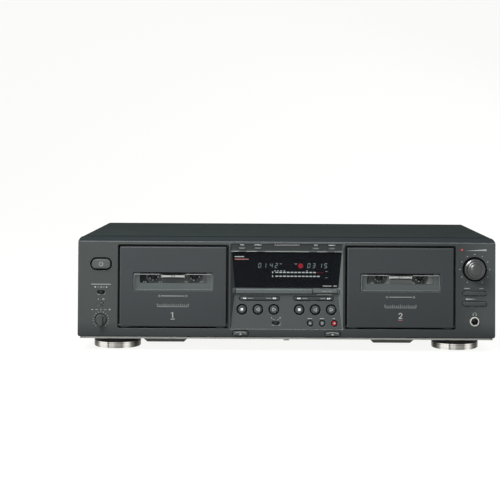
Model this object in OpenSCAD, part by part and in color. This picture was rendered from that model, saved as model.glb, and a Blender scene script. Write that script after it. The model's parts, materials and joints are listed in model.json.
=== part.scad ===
// Double cassette deck of full component width: two hinged cassette doors with their tape
// mechanisms, a sunken centre section with a display and keys, and controls at both ends.
// X runs to the right, Y to the rear and Z up, in millimetres. The origin is on the table,
// under the middle of the whole object.

/* [Cabinet] */
// Width over the front panel
body_w = 430; // [422:1:480]
// Depth from the front face to the outside of the rear panel
body_d = 272; // [255:1:340]
// Height of the cabinet above its feet
body_h = 104; // [102:1:125]
// Thickness of the steel sheet
sheet_t = 1; // [0.6:0.1:1.4]
// Step from the side of the front panel to the side of the steel cover
cover_step = 1; // [0.9:0.1:3]
// Radius of the cover's folded edges
cover_r = 2.5; // [2:0.1:6]

/* [Front panel] */
// Depth of the moulded front panel
panel_d = 20; // [16:1:30]
// Thickness of its face
panel_t = 3; // [2.4:0.1:4]
// Thickness of its returns
panel_wall = 2.5; // [1.5:0.1:3]
// Height of the panel's lower edge above the underside of the chassis
panel_lift = 2; // [1.8:0.1:4]
// Rise of the sloping brow behind the face's top edge
brow_rise = 3.7; // [2:0.1:6]
// Bevel along the face's top and bottom edges
edge_bevel = 0.9; // [0.5:0.1:1.5]
// Radius of the panel's corners
corner_r = 2.5; // [1:0.1:5]

/* [Layout of the face] */
// Width of the centre section
control_w = 118.6; // [114:0.1:120]
// Width of the column of controls at each end
column_w = 41.2; // [38:0.1:44]
// Width of the bar between the centre section and each door
bar_w = 1.3; // [1:0.1:3]
// Strip of the face above the doors
door_top_margin = 3.7; // [3.2:0.1:6]
// Strip of the face under the doors
door_bottom_margin = 8.8; // [7.8:0.1:12]
// Distance of the left controls from the panel's side
left_inset = 23.8; // [22:0.1:25]
// Distance of the right controls from the panel's side
right_inset = 21.3; // [19:0.1:23]

/* [Cassette doors] */
// Gap round a door
door_gap = 1.7; // [0.9:0.1:2]
// Gap under a door, which swings through it
door_drop = 1.7; // [1.6:0.1:3]
// How far a door stands proud of the face
door_proud = 0.6; // [0.2:0.1:1]
// Bevel round a door
door_bevel = 0.8; // [0.6:0.1:1.4]
// Width of a door's window
window_w = 82.7; // [70:0.1:90]
// Height of a door's window
window_h = 18.9; // [17:0.1:24]
// Height of the window's middle above the door's middle
window_rise = 5.4; // [2:0.1:8]
// How far the window lies behind the door's front
window_sink = 0.5; // [0.2:0.1:1]
// Width of the clear part of a window
sight_w = 69; // [60:0.5:76]
// Height of the clear part of a window
sight_h = 10.6; // [8:0.1:14]

/* [Cassette holders] */
// Width of a cassette
cassette_w = 100.4; // [99:0.1:102]
// Thickness of a cassette at its thickest
cassette_t = 12; // [11:0.1:13]
// Room left round a cassette
cassette_play = 0.6; // [0.3:0.1:1]
// Height of a cassette's lower edge above the door's lower edge
cassette_rise = 16.6; // [15:0.1:18]
// Thickness of a holder's side walls
holder_wall = 2; // [1.5:0.1:2.5]
// Thickness of a holder's front plate
holder_front = 1.2; // [0.8:0.1:2]
// Thickness of the lips behind the cassette
lip_t = 1.4; // [1:0.1:2]
// Width of the lips
lip_w = 6; // [4:0.5:9]
// Radius of the hinge pins
hinge_r = 1.3; // [1:0.1:1.4]
// Height of the hinge pins above the door's lower edge
hinge_rise = 1; // [0.5:0.1:1.5]

/* [Tape mechanisms] */
// Thickness of a mechanism frame's side walls
frame_wall = 1.2; // [0.8:0.1:1.4]
// Thickness of a mechanism frame's back plate
frame_plate = 1.6; // [1.2:0.1:2.5]
// Distance between the two reel spindles
hub_pitch = 42.5; // [42:0.1:43]
// Height of the spindles above the cassette's lower edge
hub_rise = 34.5; // [33:0.1:36]
// Radius of a spindle
spindle_r = 3.4; // [2.5:0.1:4]
// Radius of a reel table
reel_r = 8.5; // [7:0.1:10]
// Distance between the two capstans
capstan_pitch = 62; // [58:0.5:66]
// Height of the capstans above the cassette's lower edge
capstan_rise = 6.2; // [5.5:0.1:7]
// Radius of a capstan
capstan_r = 1; // [0.8:0.1:1.4]
// Radius of a flywheel
flywheel_r = 18; // [15:0.5:20]
// Thickness of a flywheel
flywheel_t = 8; // [6:0.5:10]
// Radius of a pinch roller
roller_r = 6; // [5:0.1:6.4]
// Lift of the head carriage
head_lift = 5.5; // [4:0.1:6]
// Radius of a motor
motor_r = 13; // [12:0.5:15]
// Length of a motor
motor_l = 20; // [15:1:30]
// Radius of a motor's pulley
pulley_r = 4; // [3:0.1:5]
// Thickness of a drive belt
belt_t = 1; // [0.6:0.1:1.5]

/* [Centre section] */
// Depth of the sunken strip over the display
strip_sink = 1; // [0.6:0.1:2]
// Height of that strip
strip_h = 7; // [7:0.1:9]
// Depth of the display's top edge behind the face
display_sink = 1.5; // [1:0.1:2]
// Thickness of the display window
display_t = 1.8; // [1.2:0.1:2.4]
// Height of the sloping field of keys
keys_h = 36.7; // [36.4:0.1:40]
// Slope of the field of keys
key_slope = 7.5; // [5:0.1:9]
// Depth of the field of keys at its lower edge
keys_sink = 0.8; // [0.4:0.1:1.5]
// Height of the bar under the display
rail_h = 4.9; // [4.6:0.1:6.5]
// Depth of that bar's front behind the face
rail_sink = 3; // [2:0.1:4]
// Thickness of the centre section's plate
plate_t = 2.2; // [1.6:0.1:3]
// Inward slope of its side walls, per unit of depth
side_draft = 0.87; // [0.5:0.01:1]

/* [Keys and knobs] */
// How far the keys stand proud
key_proud = 1.1; // [0.6:0.1:2]
// Travel of a key
key_travel = 1.5; // [1:0.1:2]
// Clearance round a key
key_clear = 0.35; // [0.3:0.01:0.45]
// Width of a key's collar behind the panel
collar_w = 1.2; // [0.8:0.1:1.6]
// Radius of the round transport keys
transport_r = 4; // [3.4:0.1:4.3]
// Distance between two transport keys
transport_pitch = 16.5; // [15:0.1:17]
// Distance of the outermost transport keys from the sides of the centre section
transport_x = 13.2; // [12.3:0.1:14.3]
// Radius of the small round keys
small_r = 2.35; // [2:0.01:2.6]
// Width of the power key
power_w = 19.2; // [15:0.1:22]
// Height of the power key
power_h = 9.9; // [8:0.1:11]
// Width of the long keys on the right
long_w = 24.3; // [20:0.1:26]
// Height of the long keys on the right
long_h = 4.3; // [3.5:0.1:5]
// Length of a winding rocker
rocker_w = 41.2; // [38:0.1:43]
// Height of a winding rocker
rocker_h = 3.9; // [3.2:0.1:4.3]
// Radius of the level knob's skirt
level_r = 10.6; // [9:0.1:11.5]
// How far the level knob stands proud
level_proud = 11; // [8:0.1:14]
// Radius of the pitch knob
pitch_r = 5.6; // [5:0.1:6]
// Radius of the bore that takes a headphone plug
phones_r = 3.2; // [3.18:0.01:3.3]

/* [Feet] */
// Height of the feet
foot_h = 12.5; // [11:0.5:18]
// Radius of the feet
foot_r = 24.5; // [20:0.5:28]
// Height of a front foot's bright ring
ring_h = 6.8; // [5:0.1:8]
// Distance of the feet from the panel's sides
foot_inset = 37.3; // [32:0.1:45]
// Distance of the front feet from the face
foot_back = 41; // [35:1:60]

/* [Rear] */
// How far the line jacks stand proud of the rear panel
jack_proud = 8; // [7:0.1:10]
// Radius of a line jack's sleeve
jack_r = 4.15; // [4.1:0.01:4.2]
// Distance between line jacks
jack_pitch = 18; // [14:0.5:22]

/* [Hidden] */
$fn = 64;

// Clearances that every fit shares
seat = 0.3;
run_clear = 0.05;
thin = 1;

// Cabinet
half_w = body_w / 2;
panel_z0 = foot_h + panel_lift;
top_z = foot_h + body_h;
panel_z1 = top_z - 0.2;
face_top = panel_z1 - brow_rise;
floor_z = foot_h + sheet_t;
cover_x = half_w - cover_step;
chassis_x = cover_x - sheet_t - 0.2;
front_y = level_proud - (level_proud + body_d + jack_proud) / 2;
rear_t = 1.2;
rear_y = body_d - rear_t;

// Door openings
open_w = half_w - column_w - control_w / 2 - bar_w;
door_x = control_w / 2 + bar_w + open_w / 2;
open_z0 = panel_z0 + door_bottom_margin;
open_z1 = face_top - door_top_margin;
door_w = open_w - 2 * door_gap;
door_z0 = open_z0 + door_drop;
door_z1 = open_z1 - door_gap;
door_h = door_z1 - door_z0;
window_z = (door_z0 + door_z1) / 2 + window_rise;
sight_z = window_z + window_h / 2 - sight_h / 2 - 0.7;

// Cassette holders
slot_w = cassette_w + 2 * cassette_play;
holder_w = slot_w + 2 * holder_wall;
slot_y0 = panel_t + holder_front;
slot_y1 = slot_y0 + cassette_t + cassette_play;
lip_y1 = slot_y1 + lip_t;
cassette_z0 = door_z0 + cassette_rise;
rail_top = door_z1 - 3.4;
hinge_y = panel_t + hinge_r + seat;
hinge_z = door_z0 + hinge_rise;
ledge_w = 8.5;
ledge_t = 2;

// Mechanisms
back_y = lip_y1 + 1.3;
plate_y1 = back_y + frame_plate;
frame_in_w = open_w - 0.8;
frame_w = frame_in_w + 2 * frame_wall;
frame_z0 = open_z0 - 0.8 - frame_wall;
frame_z1 = open_z1 + frame_wall;
hub_z = cassette_z0 + hub_rise;
capstan_z = cassette_z0 + capstan_rise;
spindle_y0 = slot_y0 + 4.8;
flywheel_y0 = plate_y1 + 2.4;
flywheel_y1 = flywheel_y0 + flywheel_t;
bracket_y = flywheel_y1 + 4;
bracket_t = 1.6;
motor_y = flywheel_y1 + 2.5;
motor_x = 42;
motor_z = capstan_z + 32;
post_r = 2;
post_ring = 9.5;
shaft_r = 1.5;
// The raised rollers stop just under the capstans
roller_z = capstan_z - capstan_r - 0.3 - roller_r - head_lift;

// Centre section
ctl_z0 = panel_z0 + 8.1;
ctl_z1 = face_top - 1.1;
keys_z0 = ctl_z0 + 0.3;
rail_z0 = ctl_z0 + keys_h;
rail_z1 = rail_z0 + rail_h;
valley = slope_depth(rail_z0);
strip_z1 = ctl_z1 - 0.6;
strip_z0 = strip_z1 - strip_h;
display_z1 = strip_z0 - strip_sink - 0.5;
display_z0 = rail_z1 + 0.6;
plan_w = control_w - 1;
block_d = valley + display_t + plate_t + 1.2;
front_board_y = block_d + 7;
keys_wall = 1.2;
tube_inset = 12.8;

// Keys
counter_z = (strip_z0 + strip_z1) / 2 - 1.4;
counter_inset = 13;
counter_outer = control_w / 2 - counter_inset;
counter_inner = counter_outer - transport_pitch;
counter_x = [-counter_outer, -counter_inner, counter_inner, counter_outer];
counter_w = 7.2;
counter_h = 2.3;
rocker_inset = 10.7;
rocker_x = control_w / 2 - rocker_inset - rocker_w / 2;
rocker_z = ctl_z0 + 31.5;
rocker_stem_x = 14;
pivot_r = 1.1;
pivot_y = plate_t + seat + pivot_r + 0.3;
transport_z = ctl_z0 + 20.2;
transport_groove = 1.8;
function transport_place(i) = control_w / 2 - transport_x - (2 - i) * transport_pitch;
small_z = ctl_z0 + 6.4;
small_inset = 10;
small_pitch = 12.45;
small_groove = 1.2;
small_x = [for (i = [2, 1, 0]) control_w / 2 - small_inset - i * small_pitch];
display_key_w = 25.4;
display_key_x = plan_w / 2 - side_draft * valley - display_key_w / 2 - 1.2;
eject_inset = 11.9;
eject_x = control_w / 2 - eject_inset;
eject_w = 14.8;
eject_h = 4.4;
eject_z = panel_z0 + 4;
eject_travel = 2.2;
left_x = -(half_w - left_inset);
right_x = half_w - right_inset;
power_z = face_top - 23.4;
power_groove = 1.9;
power_travel = 2.5;
timer_z = panel_z0 + 45.5;
pitch_key_z = panel_z0 + 33.8;
pitch_z = panel_z0 + 17.5;
level_z = face_top - 27.1;
level_groove = 2.3;
level_shaft_r = 3;
pitch_shaft_r = 2.5;
long_z = [panel_z0 + 46.2, panel_z0 + 35.6];
phones_z = panel_z0 + 17.3;
side_board_y = panel_t + 9;
board_t = 1.6;
switch_h = 2.6;
dubbing_x = 2.1 - transport_place(0);
slide_w = 3.2;
slide_h = 2.8;
slide_throw = 2;
slot_l = slide_w + 2 * slide_throw + 2 * key_clear;
stem_r = 1.2;
pitch_key_w = 5.4;
pitch_key_h = 3;
pot_d = 4;
phones_body = [14, 13, 24];
phones_depth = 20;

// Rear
jack_inset = 102.8;
jack_x = chassis_x - jack_inset;
jack_z = foot_h + 48;
inlet_inset = 62.8;
inlet_x = inlet_inset - chassis_x;
inlet_z = foot_h + 30;
inlet_w = 22;
inlet_h = 14;
inlet_depth = 11;
inlet_pin_x = 4.3;

// Places the front of the deck: there, y is the depth behind the face
module at_front() translate([0, front_y, 0]) children();
module at_deck(side) translate([side * door_x, front_y, 0]) children();
module at(x, z) translate([x, 0, z]) children();
module on_both_sides() for (side = [-1, 1]) at(side * door_x, 0) children();

// The sloping field of keys: its own y runs into the plate, its own z up the slope
function slope_depth(z) = keys_sink + (z - keys_z0) * tan(key_slope);
module on_slope(x, z)
    translate([x, slope_depth(z), z])
        rotate([-key_slope, 0, 0])
            children();

// Extrusions along each axis, and round bars
module along_x(x0, x1) translate([x0, 0, 0]) rotate([90, 0, 90]) linear_extrude(x1 - x0) children();
module along_y(y0, y1) translate([0, y1, 0]) rotate([90, 0, 0]) linear_extrude(y1 - y0) children();
module along_z(z0, z1) translate([0, 0, z0]) linear_extrude(z1 - z0) children();
module bar_y(r, y0, y1) translate([0, y1, 0]) rotate([90, 0, 0]) cylinder(r = r, h = y1 - y0);
module bar_x(r, x0, x1) translate([x0, 0, 0]) rotate([0, 90, 0]) cylinder(r = r, h = x1 - x0);
module bar_z(r, z0, z1) translate([0, 0, z0]) cylinder(r = r, h = z1 - z0);
module block(x0, x1, y0, y1, z0, z1) translate([x0, y0, z0]) cube([x1 - x0, y1 - y0, z1 - z0]);

// A turned piece: its profile gives the radius at each depth
module turned_y(profile) rotate([-90, 0, 0]) rotate_extrude() polygon(profile);

function arc(x, y, r, a0, a1, n = 8) =
    [for (i = [0:n]) let(a = a0 + (a1 - a0) * i / n) [x + r * cos(a), y + r * sin(a)]];
function rounded_points(w, h, r) = concat(
    arc(w / 2 - r, h / 2 - r, r, 0, 90, 5),
    arc(r - w / 2, h / 2 - r, r, 90, 180, 5),
    arc(r - w / 2, r - h / 2, r, 180, 270, 5),
    arc(w / 2 - r, r - h / 2, r, 270, 360, 5));
function pill_points(w, h) = concat(
    arc(w / 2 - h / 2, 0, h / 2, -90, 90, 12),
    arc(h / 2 - w / 2, 0, h / 2, 90, 270, 12));
module rounded(w, h, r) polygon(rounded_points(w, h, r));
module pill(w, h) polygon(pill_points(w, h));

// A plate with its front edges bevelled; the outline is the child
module bevelled(w, h, y0, y1, bevel) intersection() {
    along_y(y0, y1) children();
    along_x(-w / 2, w / 2)
        polygon([[y0, bevel - h / 2], [y0 + bevel, -h / 2], [y1, -h / 2],
            [y1, h / 2], [y0 + bevel, h / 2], [y0, h / 2 - bevel]]);
    along_z(-h / 2, h / 2)
        polygon([[bevel - w / 2, y0], [w / 2 - bevel, y0], [w / 2, y0 + bevel],
            [w / 2, y1], [-w / 2, y1], [-w / 2, y0 + bevel]]);
}

// A frustum with a rectangular foot, for pressed steel
module pressing(w0, d0, w1, d1, z0, z1) polyhedron(
    [for (level = [[w0, d0, z0], [w1, d1, z1]], corner = [[-1, -1], [1, -1], [1, 1], [-1, 1]])
        [corner[0] * level[0] / 2, corner[1] * level[1] / 2, level[2]]],
    [[0, 1, 2, 3], [4, 7, 6, 5], [0, 4, 5, 1], [1, 5, 6, 2], [2, 6, 7, 3], [3, 7, 4, 0]]);

// Seats cut into a panel of thickness t for a pill-shaped and a round key
module pill_seat(w, h, t, groove, depth = 1) {
    along_y(-thin, depth) pill(w + 2 * groove, h + 2 * groove);
    along_y(-thin, t + thin) pill(w + 2 * key_clear, h + 2 * key_clear);
}
module round_seat(r, t, groove, depth = 1) {
    bar_y(r + groove, -thin, depth);
    bar_y(r + key_clear, -thin, t + thin);
}

// Keys: a cap in the seat, a collar that stops it behind the panel and a stem to its switch
module pill_key(w, h, t, proud, stem_y, bevel = 0.5) {
    bevelled(w, h, -proud, t + seat, bevel) pill(w, h);
    along_y(t + seat, t + seat + collar_w) pill(w + 2 * collar_w, h + 2 * collar_w);
    bar_y(stem_r, t + seat + collar_w - 0.1, stem_y);
}
module round_key(r, t, proud, stem_y) {
    turned_y([[0, -proud], [r - 0.6, -proud], [r, 0.6 - proud], [r, t + seat], [r + collar_w, t + seat],
        [r + collar_w, t + seat + collar_w], [stem_r, t + seat + collar_w], [stem_r, stem_y], [0, stem_y]]);
}
// A slide switch's thumb and the shutter behind its slot
module slide(t, proud) {
    bevelled(slide_w, slide_h, -proud, t + seat, 0.4) rounded(slide_w, slide_h, 0.6);
    along_y(t + seat, t + seat + 1) rounded(slot_l + 2 * slide_throw + 1, slide_h + 2, 0.8);
}
module slide_slot(t) {
    along_y(-thin, t + thin) rounded(slot_l, slide_h + 2 * key_clear, 0.8);
    along_y(-thin, 0.6) pill(slot_l + 1.6, slide_h + 2 * key_clear + 1);
}

// Front panel: a moulded shell with a sloping brow
brow_slope = (panel_z1 - face_top) / (panel_d - edge_bevel);
module panel_shell() difference() {
    intersection() {
        along_x(-half_w, half_w)
            polygon([[0, panel_z0 + edge_bevel], [edge_bevel, panel_z0], [panel_d, panel_z0],
                [panel_d, panel_z1], [edge_bevel, face_top], [0, face_top - edge_bevel]]);
        along_y(-thin, panel_d + thin)
            translate([0, (panel_z0 + panel_z1) / 2])
                rounded(body_w, panel_z1 - panel_z0, corner_r);
    }
    along_x(panel_wall - half_w, half_w - panel_wall)
        polygon([[panel_t, panel_z0 + panel_wall], [panel_d + thin, panel_z0 + panel_wall],
            [panel_d + thin, panel_z1 + thin * brow_slope - panel_wall],
            [panel_t, face_top + (panel_t - edge_bevel) * brow_slope - panel_wall]]);
}
module eject_opening() at(0, eject_z) along_y(-thin, panel_t + thin)
    rounded(eject_w + 2 * key_clear, eject_h + 2 * key_clear, 1.8);
module front_panel() color("dimgray") at_front() {
    difference() {
        panel_shell();
        on_both_sides() at(0, (open_z0 + open_z1) / 2)
            along_y(-thin, panel_t + thin) rounded(open_w, open_z1 - open_z0, 1.5);
        block(-control_w / 2, control_w / 2, -thin, block_d + seat, ctl_z0 - 0.1, ctl_z1 + 0.1);
        at(left_x, power_z) pill_seat(power_w, power_h, panel_t, power_groove, 1.4);
        at(left_x, timer_z) slide_slot(panel_t);
        at(left_x, pitch_key_z) pill_seat(pitch_key_w, pitch_key_h, panel_t, 0.5);
        at(left_x, pitch_z) {
            bar_y(pitch_r + 0.7, -thin, 1);
            bar_y(pitch_shaft_r + run_clear, -thin, panel_t + thin);
        }
        at(right_x, level_z) {
            bar_y(level_r + level_groove, -thin, 1.4);
            bar_y(level_shaft_r + run_clear, -thin, panel_t + thin);
        }
        for (z = long_z) at(right_x, z) pill_seat(long_w, long_h, panel_t, 0.7);
        at(right_x, phones_z) bar_y(phones_r + 1.25, -thin, panel_t + thin);
        for (side = [-1, 1]) at(side * eject_x, 0) eject_opening();
    }
    // Bosses that carry the two side boards
    for (x = [left_x - 13, left_x + 13], z = [pitch_z - 8, power_z + 12])
        at(x, z) bar_y(2.2, panel_t, side_board_y);
    for (x = [right_x - 12, right_x + 12], z = [long_z[1] - 6, level_z + 16])
        at(x, z) bar_y(2.2, panel_t, side_board_y);
}

// Centre section: the display leans back into a valley, the keys come forward again
function display_depth(z) =
    display_sink + (display_z1 - z) / (display_z1 - display_z0) * (valley - display_sink);
module valley_plan(grow) along_z(ctl_z0 - thin, ctl_z1 + thin)
    polygon([for (side = [-1, 1], y = side < 0 ? [-thin, block_d] : [block_d, -thin])
        [side * (plan_w / 2 - side_draft * max(y, 0) + grow), y]]);
module valley_cut() intersection() {
    along_x(-half_w, half_w)
        polygon([[-thin, strip_z1], [strip_sink, strip_z1], [strip_sink, strip_z0],
            [0.05, strip_z0 - strip_sink], [0.05, display_z1 + 0.1],
            [display_sink + display_t, display_z1], [valley + display_t, display_z0],
            [rail_sink + 0.8, rail_z1], [rail_sink, rail_z1 - 0.8], [rail_sink, rail_z0 + 0.6],
            [rail_sink + 0.4, rail_z0 + 0.2], [valley, rail_z0], [keys_sink, keys_z0], [-thin, keys_z0]]);
    valley_plan(0);
}
module keys_hollow() intersection() {
    along_x(-half_w, half_w)
        polygon([[keys_sink + plate_t, keys_z0 + keys_wall], [valley + plate_t - 0.3, rail_z0 - 1.6],
            [block_d + thin, rail_z0 - 1.6], [block_d + thin, keys_z0 + keys_wall]]);
    along_z(0, top_z)
        polygon([[2 - plan_w / 2, 2], [plan_w / 2 - 2, 2],
            [plan_w / 2 - 5.5, 8], [plan_w / 2 - 5.5, block_d + thin],
            [5.5 - plan_w / 2, block_d + thin], [5.5 - plan_w / 2, 8]]);
}
module transport_places() for (side = [-1, 1], i = [0:2])
    on_slope(side * transport_place(i), transport_z) children();
// Ears that hold the ends of a winding rocker's pivot
module pivot_ears() for (end = [-1, 1]) scale([1, 1, end]) difference() {
    block(-2.4, 2.4, plate_t - 0.5, pivot_y + 2.2, rocker_h / 2 + key_clear, rocker_h / 2 + 1.6);
    translate([0, pivot_y, 0]) bar_z(pivot_r + run_clear, 0, rocker_h + thin);
}
module control_panel() color("gray") at_front() {
    difference() {
        block(0.1 - control_w / 2, control_w / 2 - 0.1, 0, block_d, ctl_z0, ctl_z1);
        valley_cut();
        keys_hollow();
        // Room behind the strip and the display
        block(4 - plan_w / 2, plan_w / 2 - 4, strip_sink + plate_t, block_d + thin,
            strip_z0 - 1, strip_z1 - 1);
        block(8 - plan_w / 2, plan_w / 2 - 8, 0, block_d + thin, display_z0 + 3, display_z1 - 3);
        for (x = counter_x) at(x, counter_z) translate([0, strip_sink, 0])
            pill_seat(counter_w, counter_h, plate_t, 0.5, 0.8);
        transport_places() round_seat(transport_r, plate_t, transport_groove);
        for (x = small_x) on_slope(x, small_z) round_seat(small_r, plate_t, small_groove);
        for (side = [-1, 1]) on_slope(side * rocker_x, rocker_z)
            pill_seat(rocker_w, rocker_h, plate_t, 0.65);
        on_slope(dubbing_x, small_z) slide_slot(plate_t);
        at(display_key_x, (rail_z0 + rail_z1) / 2) {
            along_y(0, block_d + thin)
                rounded(display_key_w + 2 * key_clear, rail_h - 0.8 + 2 * key_clear, 0.5);
            along_y(valley + plate_t, block_d + thin) rounded(display_key_w + 2.8, rail_h + 2.4, 0.5);
        }
    }
    for (side = [-1, 1]) on_slope(side * rocker_x, rocker_z) pivot_ears();
    // Bosses that carry the board behind
    for (side = [-1, 1], z = [ctl_z0 + 6, ctl_z1 - 4])
        at(side * (control_w / 2 - 3.2), z) bar_y(2.2, block_d, front_board_y);
}
module display_window() color([0.12, 0.13, 0.15, 0.8]) at_front() intersection() {
    along_x(-half_w, half_w)
        polygon([[display_sink, display_z1 - seat], [display_sink + display_t, display_z1 - seat],
            [display_depth(display_z0 + seat) + display_t, display_z0 + seat],
            [display_depth(display_z0 + seat), display_z0 + seat]]);
    valley_plan(-0.2);
}
module display_tube() color("darkslategray") at_front() {
    tube_z0 = display_z0 + 5;
    tube_z1 = display_z1 - 4;
    tube_x = plan_w / 2 - tube_inset;
    block(-tube_x, tube_x, front_board_y - 6, front_board_y, tube_z0, tube_z1);
    at(6 - tube_x, tube_z1) block(-2, 2, front_board_y - 4, front_board_y - 2, 0, 3);
}
module display_key() color("darkgray") at_front() at(display_key_x, (rail_z0 + rail_z1) / 2) {
    bevelled(display_key_w, rail_h - 0.8, rail_sink - 0.2, valley + plate_t + seat, 0.6)
        rounded(display_key_w, rail_h - 0.8, 0.4);
    along_y(valley + plate_t + seat, valley + plate_t + seat + 1)
        rounded(display_key_w + 1.8, rail_h + 1.4, 0.4);
    bar_y(stem_r, valley + plate_t + seat + 0.9, front_board_y - switch_h - key_travel - seat);
}

// Steel cover, chassis and rear panel
function cover_outline(x, z, r) = concat(
    [[x, panel_z0 - 0.5]],
    arc(x - r, z - r, r, 0, 90, 5),
    arc(r - x, z - r, r, 90, 180, 5),
    [[-x, panel_z0 - 0.5]]);
screw_front = 38;
screw_back = 62;
screw_rise = 18;
screw_r = 1.5;
screw_head_h = 0.8;
jack_screw_in = 5;
jack_block_d = 8;
module jack_middle() at(jack_x + jack_pitch / 2, jack_z + jack_pitch / 2) children();
cover_screws = [for (y = [panel_d + screw_front, body_d - screw_back]) [y, foot_h + screw_rise]];
module top_cover() color("black") at_front() difference() {
    along_y(panel_d + seat, body_d) polygon(cover_outline(cover_x, top_z, cover_r));
    along_y(panel_d, body_d + thin) translate([0, -thin]) polygon(concat(
        arc(cover_x - cover_r, top_z - cover_r + thin, cover_r - sheet_t, 0, 90, 5),
        arc(cover_r - cover_x, top_z - cover_r + thin, cover_r - sheet_t, 90, 180, 5),
        [[sheet_t - cover_x, 0], [cover_x - sheet_t, 0]]));
    for (s = cover_screws) translate([0, s[0], s[1]]) bar_x(screw_r + seat, -half_w, half_w);
}
hump_x = 8;
hump_w = 47;
hump_d = 56;
hump_h = 4.5;
hump_draft = 9;
hump_y = 8 + hump_d / 2;
board_inset = [124.8, 19.8];
board_x = [board_inset[0] - chassis_x, chassis_x - board_inset[1]];
board_y = [120, rear_y - 18];
board_lift = 8.5;
vent_inset = 62.8;
vent_front = 90;
vent_count = [5, 4];
vent_pitch = [20, 14];
vent_l = 14;
vent_h = 3;
flange_h = 26;
module board_posts() for (x = [board_x[0] + 6, board_x[1] - 6], y = [board_y[0] + 6, board_y[1] - 6])
    translate([x, y, 0]) bar_z(3, floor_z, floor_z + board_lift);
module bottom_chassis() color("silver") at_front() difference() {
    union() {
        block(-chassis_x, chassis_x, 2, body_d, foot_h, floor_z);
        block(-chassis_x + 2, chassis_x - 2, 2, 2 + sheet_t, floor_z - 0.2, panel_z0);
        for (side = [-1, 1]) scale([side, 1, 1])
            block(chassis_x - sheet_t, chassis_x, panel_d + 1, rear_y, floor_z - 0.2, foot_h + flange_h);
        for (side = [-1, 1]) translate([side * door_x - hump_x, hump_y, 0])
            pressing(hump_w - hump_draft, hump_d - hump_draft, hump_w, hump_d,
                foot_h - hump_h, foot_h + 0.2);
        board_posts();
    }
    for (side = [-1, 1]) translate([side * door_x - hump_x, hump_y, 0])
        pressing(hump_w - hump_draft - 2 * sheet_t, hump_d - hump_draft - 2 * sheet_t,
            hump_w - 2 * sheet_t, hump_d - 2 * sheet_t, foot_h - hump_h + sheet_t, floor_z + 0.2);
    for (s = cover_screws) translate([0, s[0], s[1]]) bar_x(screw_r + seat, -half_w, half_w);
    for (i = [0:vent_count[0] - 1], j = [0:vent_count[1] - 1])
        translate([vent_inset - chassis_x + i * vent_pitch[0], vent_front + j * vent_pitch[1], 0])
            along_z(0, floor_z + thin) pill(vent_l, vent_h);
}
module rear_panel() color("dimgray") at_front() difference() {
    rear_z1 = top_z - sheet_t - 0.2;
    along_y(rear_y, body_d) polygon([[-chassis_x, floor_z], [chassis_x, floor_z],
        [chassis_x, rear_z1 - cover_r], [chassis_x - cover_r, rear_z1],
        [cover_r - chassis_x, rear_z1], [-chassis_x, rear_z1 - cover_r]]);
    for (x = [0, 1], z = [0, 1]) at(jack_x + x * jack_pitch, jack_z + z * jack_pitch)
        bar_y(jack_r + 1.5, rear_y - thin, body_d + thin);
    jack_middle() bar_y(screw_r + seat, rear_y - thin, body_d + thin);
    at(inlet_x, inlet_z) along_y(rear_y - thin, body_d + thin) rounded(inlet_w + 0.4, inlet_h + 0.4, 1.5);
}

// Feet: the front ones carry a bright ring, the rear ones are plain
module foot_places(y) at_front() for (side = [-1, 1])
    translate([side * (half_w - foot_inset), y, 0]) children();
module front_feet() color("silver") foot_places(foot_back) rotate_extrude() polygon(concat(
    [[0, 0.8], [foot_r - 5, 0.8], [foot_r - 5, 0]],
    arc(foot_r - 1.6, 1.6, 1.6, -90, 0, 5),
    [[foot_r, ring_h - 0.4], [foot_r - 0.4, ring_h], [foot_r - 0.8, ring_h], [foot_r - 0.8, ring_h + 0.5],
        [foot_r, ring_h + 0.9], [foot_r - 0.6, foot_h], [0, foot_h]]));
module rear_feet() color("black") foot_places(body_d - foot_back) rotate_extrude() polygon(concat(
    [[0, 1], [foot_r - 8, 1], [foot_r - 8, 0]],
    arc(foot_r - 4, 2, 2, -90, 0, 5),
    [[foot_r - 1, foot_h], [0, foot_h]]));

// Electrics inside the cabinet
core_w = 58;
core_d = 36;
core_h = 48;
core_inset = 57.8;
core_x = core_inset - chassis_x;
core_back = 78;
core_y = body_d - core_back;
lug_w = 10;
lug_t = 1.5;
module power_transformer() color("saddlebrown") at_front() translate([core_x, core_y, floor_z]) {
    difference() {
        union() {
            block(-core_w / 2, core_w / 2, -core_d / 2, core_d / 2, 0, core_h);
            block(-core_w / 2 - lug_w, core_w / 2 + lug_w, -core_d / 2, core_d / 2, 0, lug_t);
        }
        for (side = [-1, 1]) translate([side * (core_w + lug_w) / 2, 0, 0]) bar_z(2.2, -thin, 3);
    }
    for (side = [-1, 1]) scale([1, side, 1])
        translate([0, core_d / 2 + 6, core_h / 2]) along_y(-6, 6) rounded(core_w - 20, core_h - 10, 5);
}
cap_r = 6;
cap_h = 24;
cap_pitch = 17;
chip_pitch = 32;
fin_pitch = 6;
fin_t = 1.5;
sink_h = 34;
module switch_block(x, z, y, w) at(x, z) block(-w / 2, w / 2, y - switch_h, y + 0.2, -2.6, 2.6);
module side_board(x, z0, z1) block(x - 16, x + 16, side_board_y, side_board_y + board_t, z0, z1);
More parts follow.
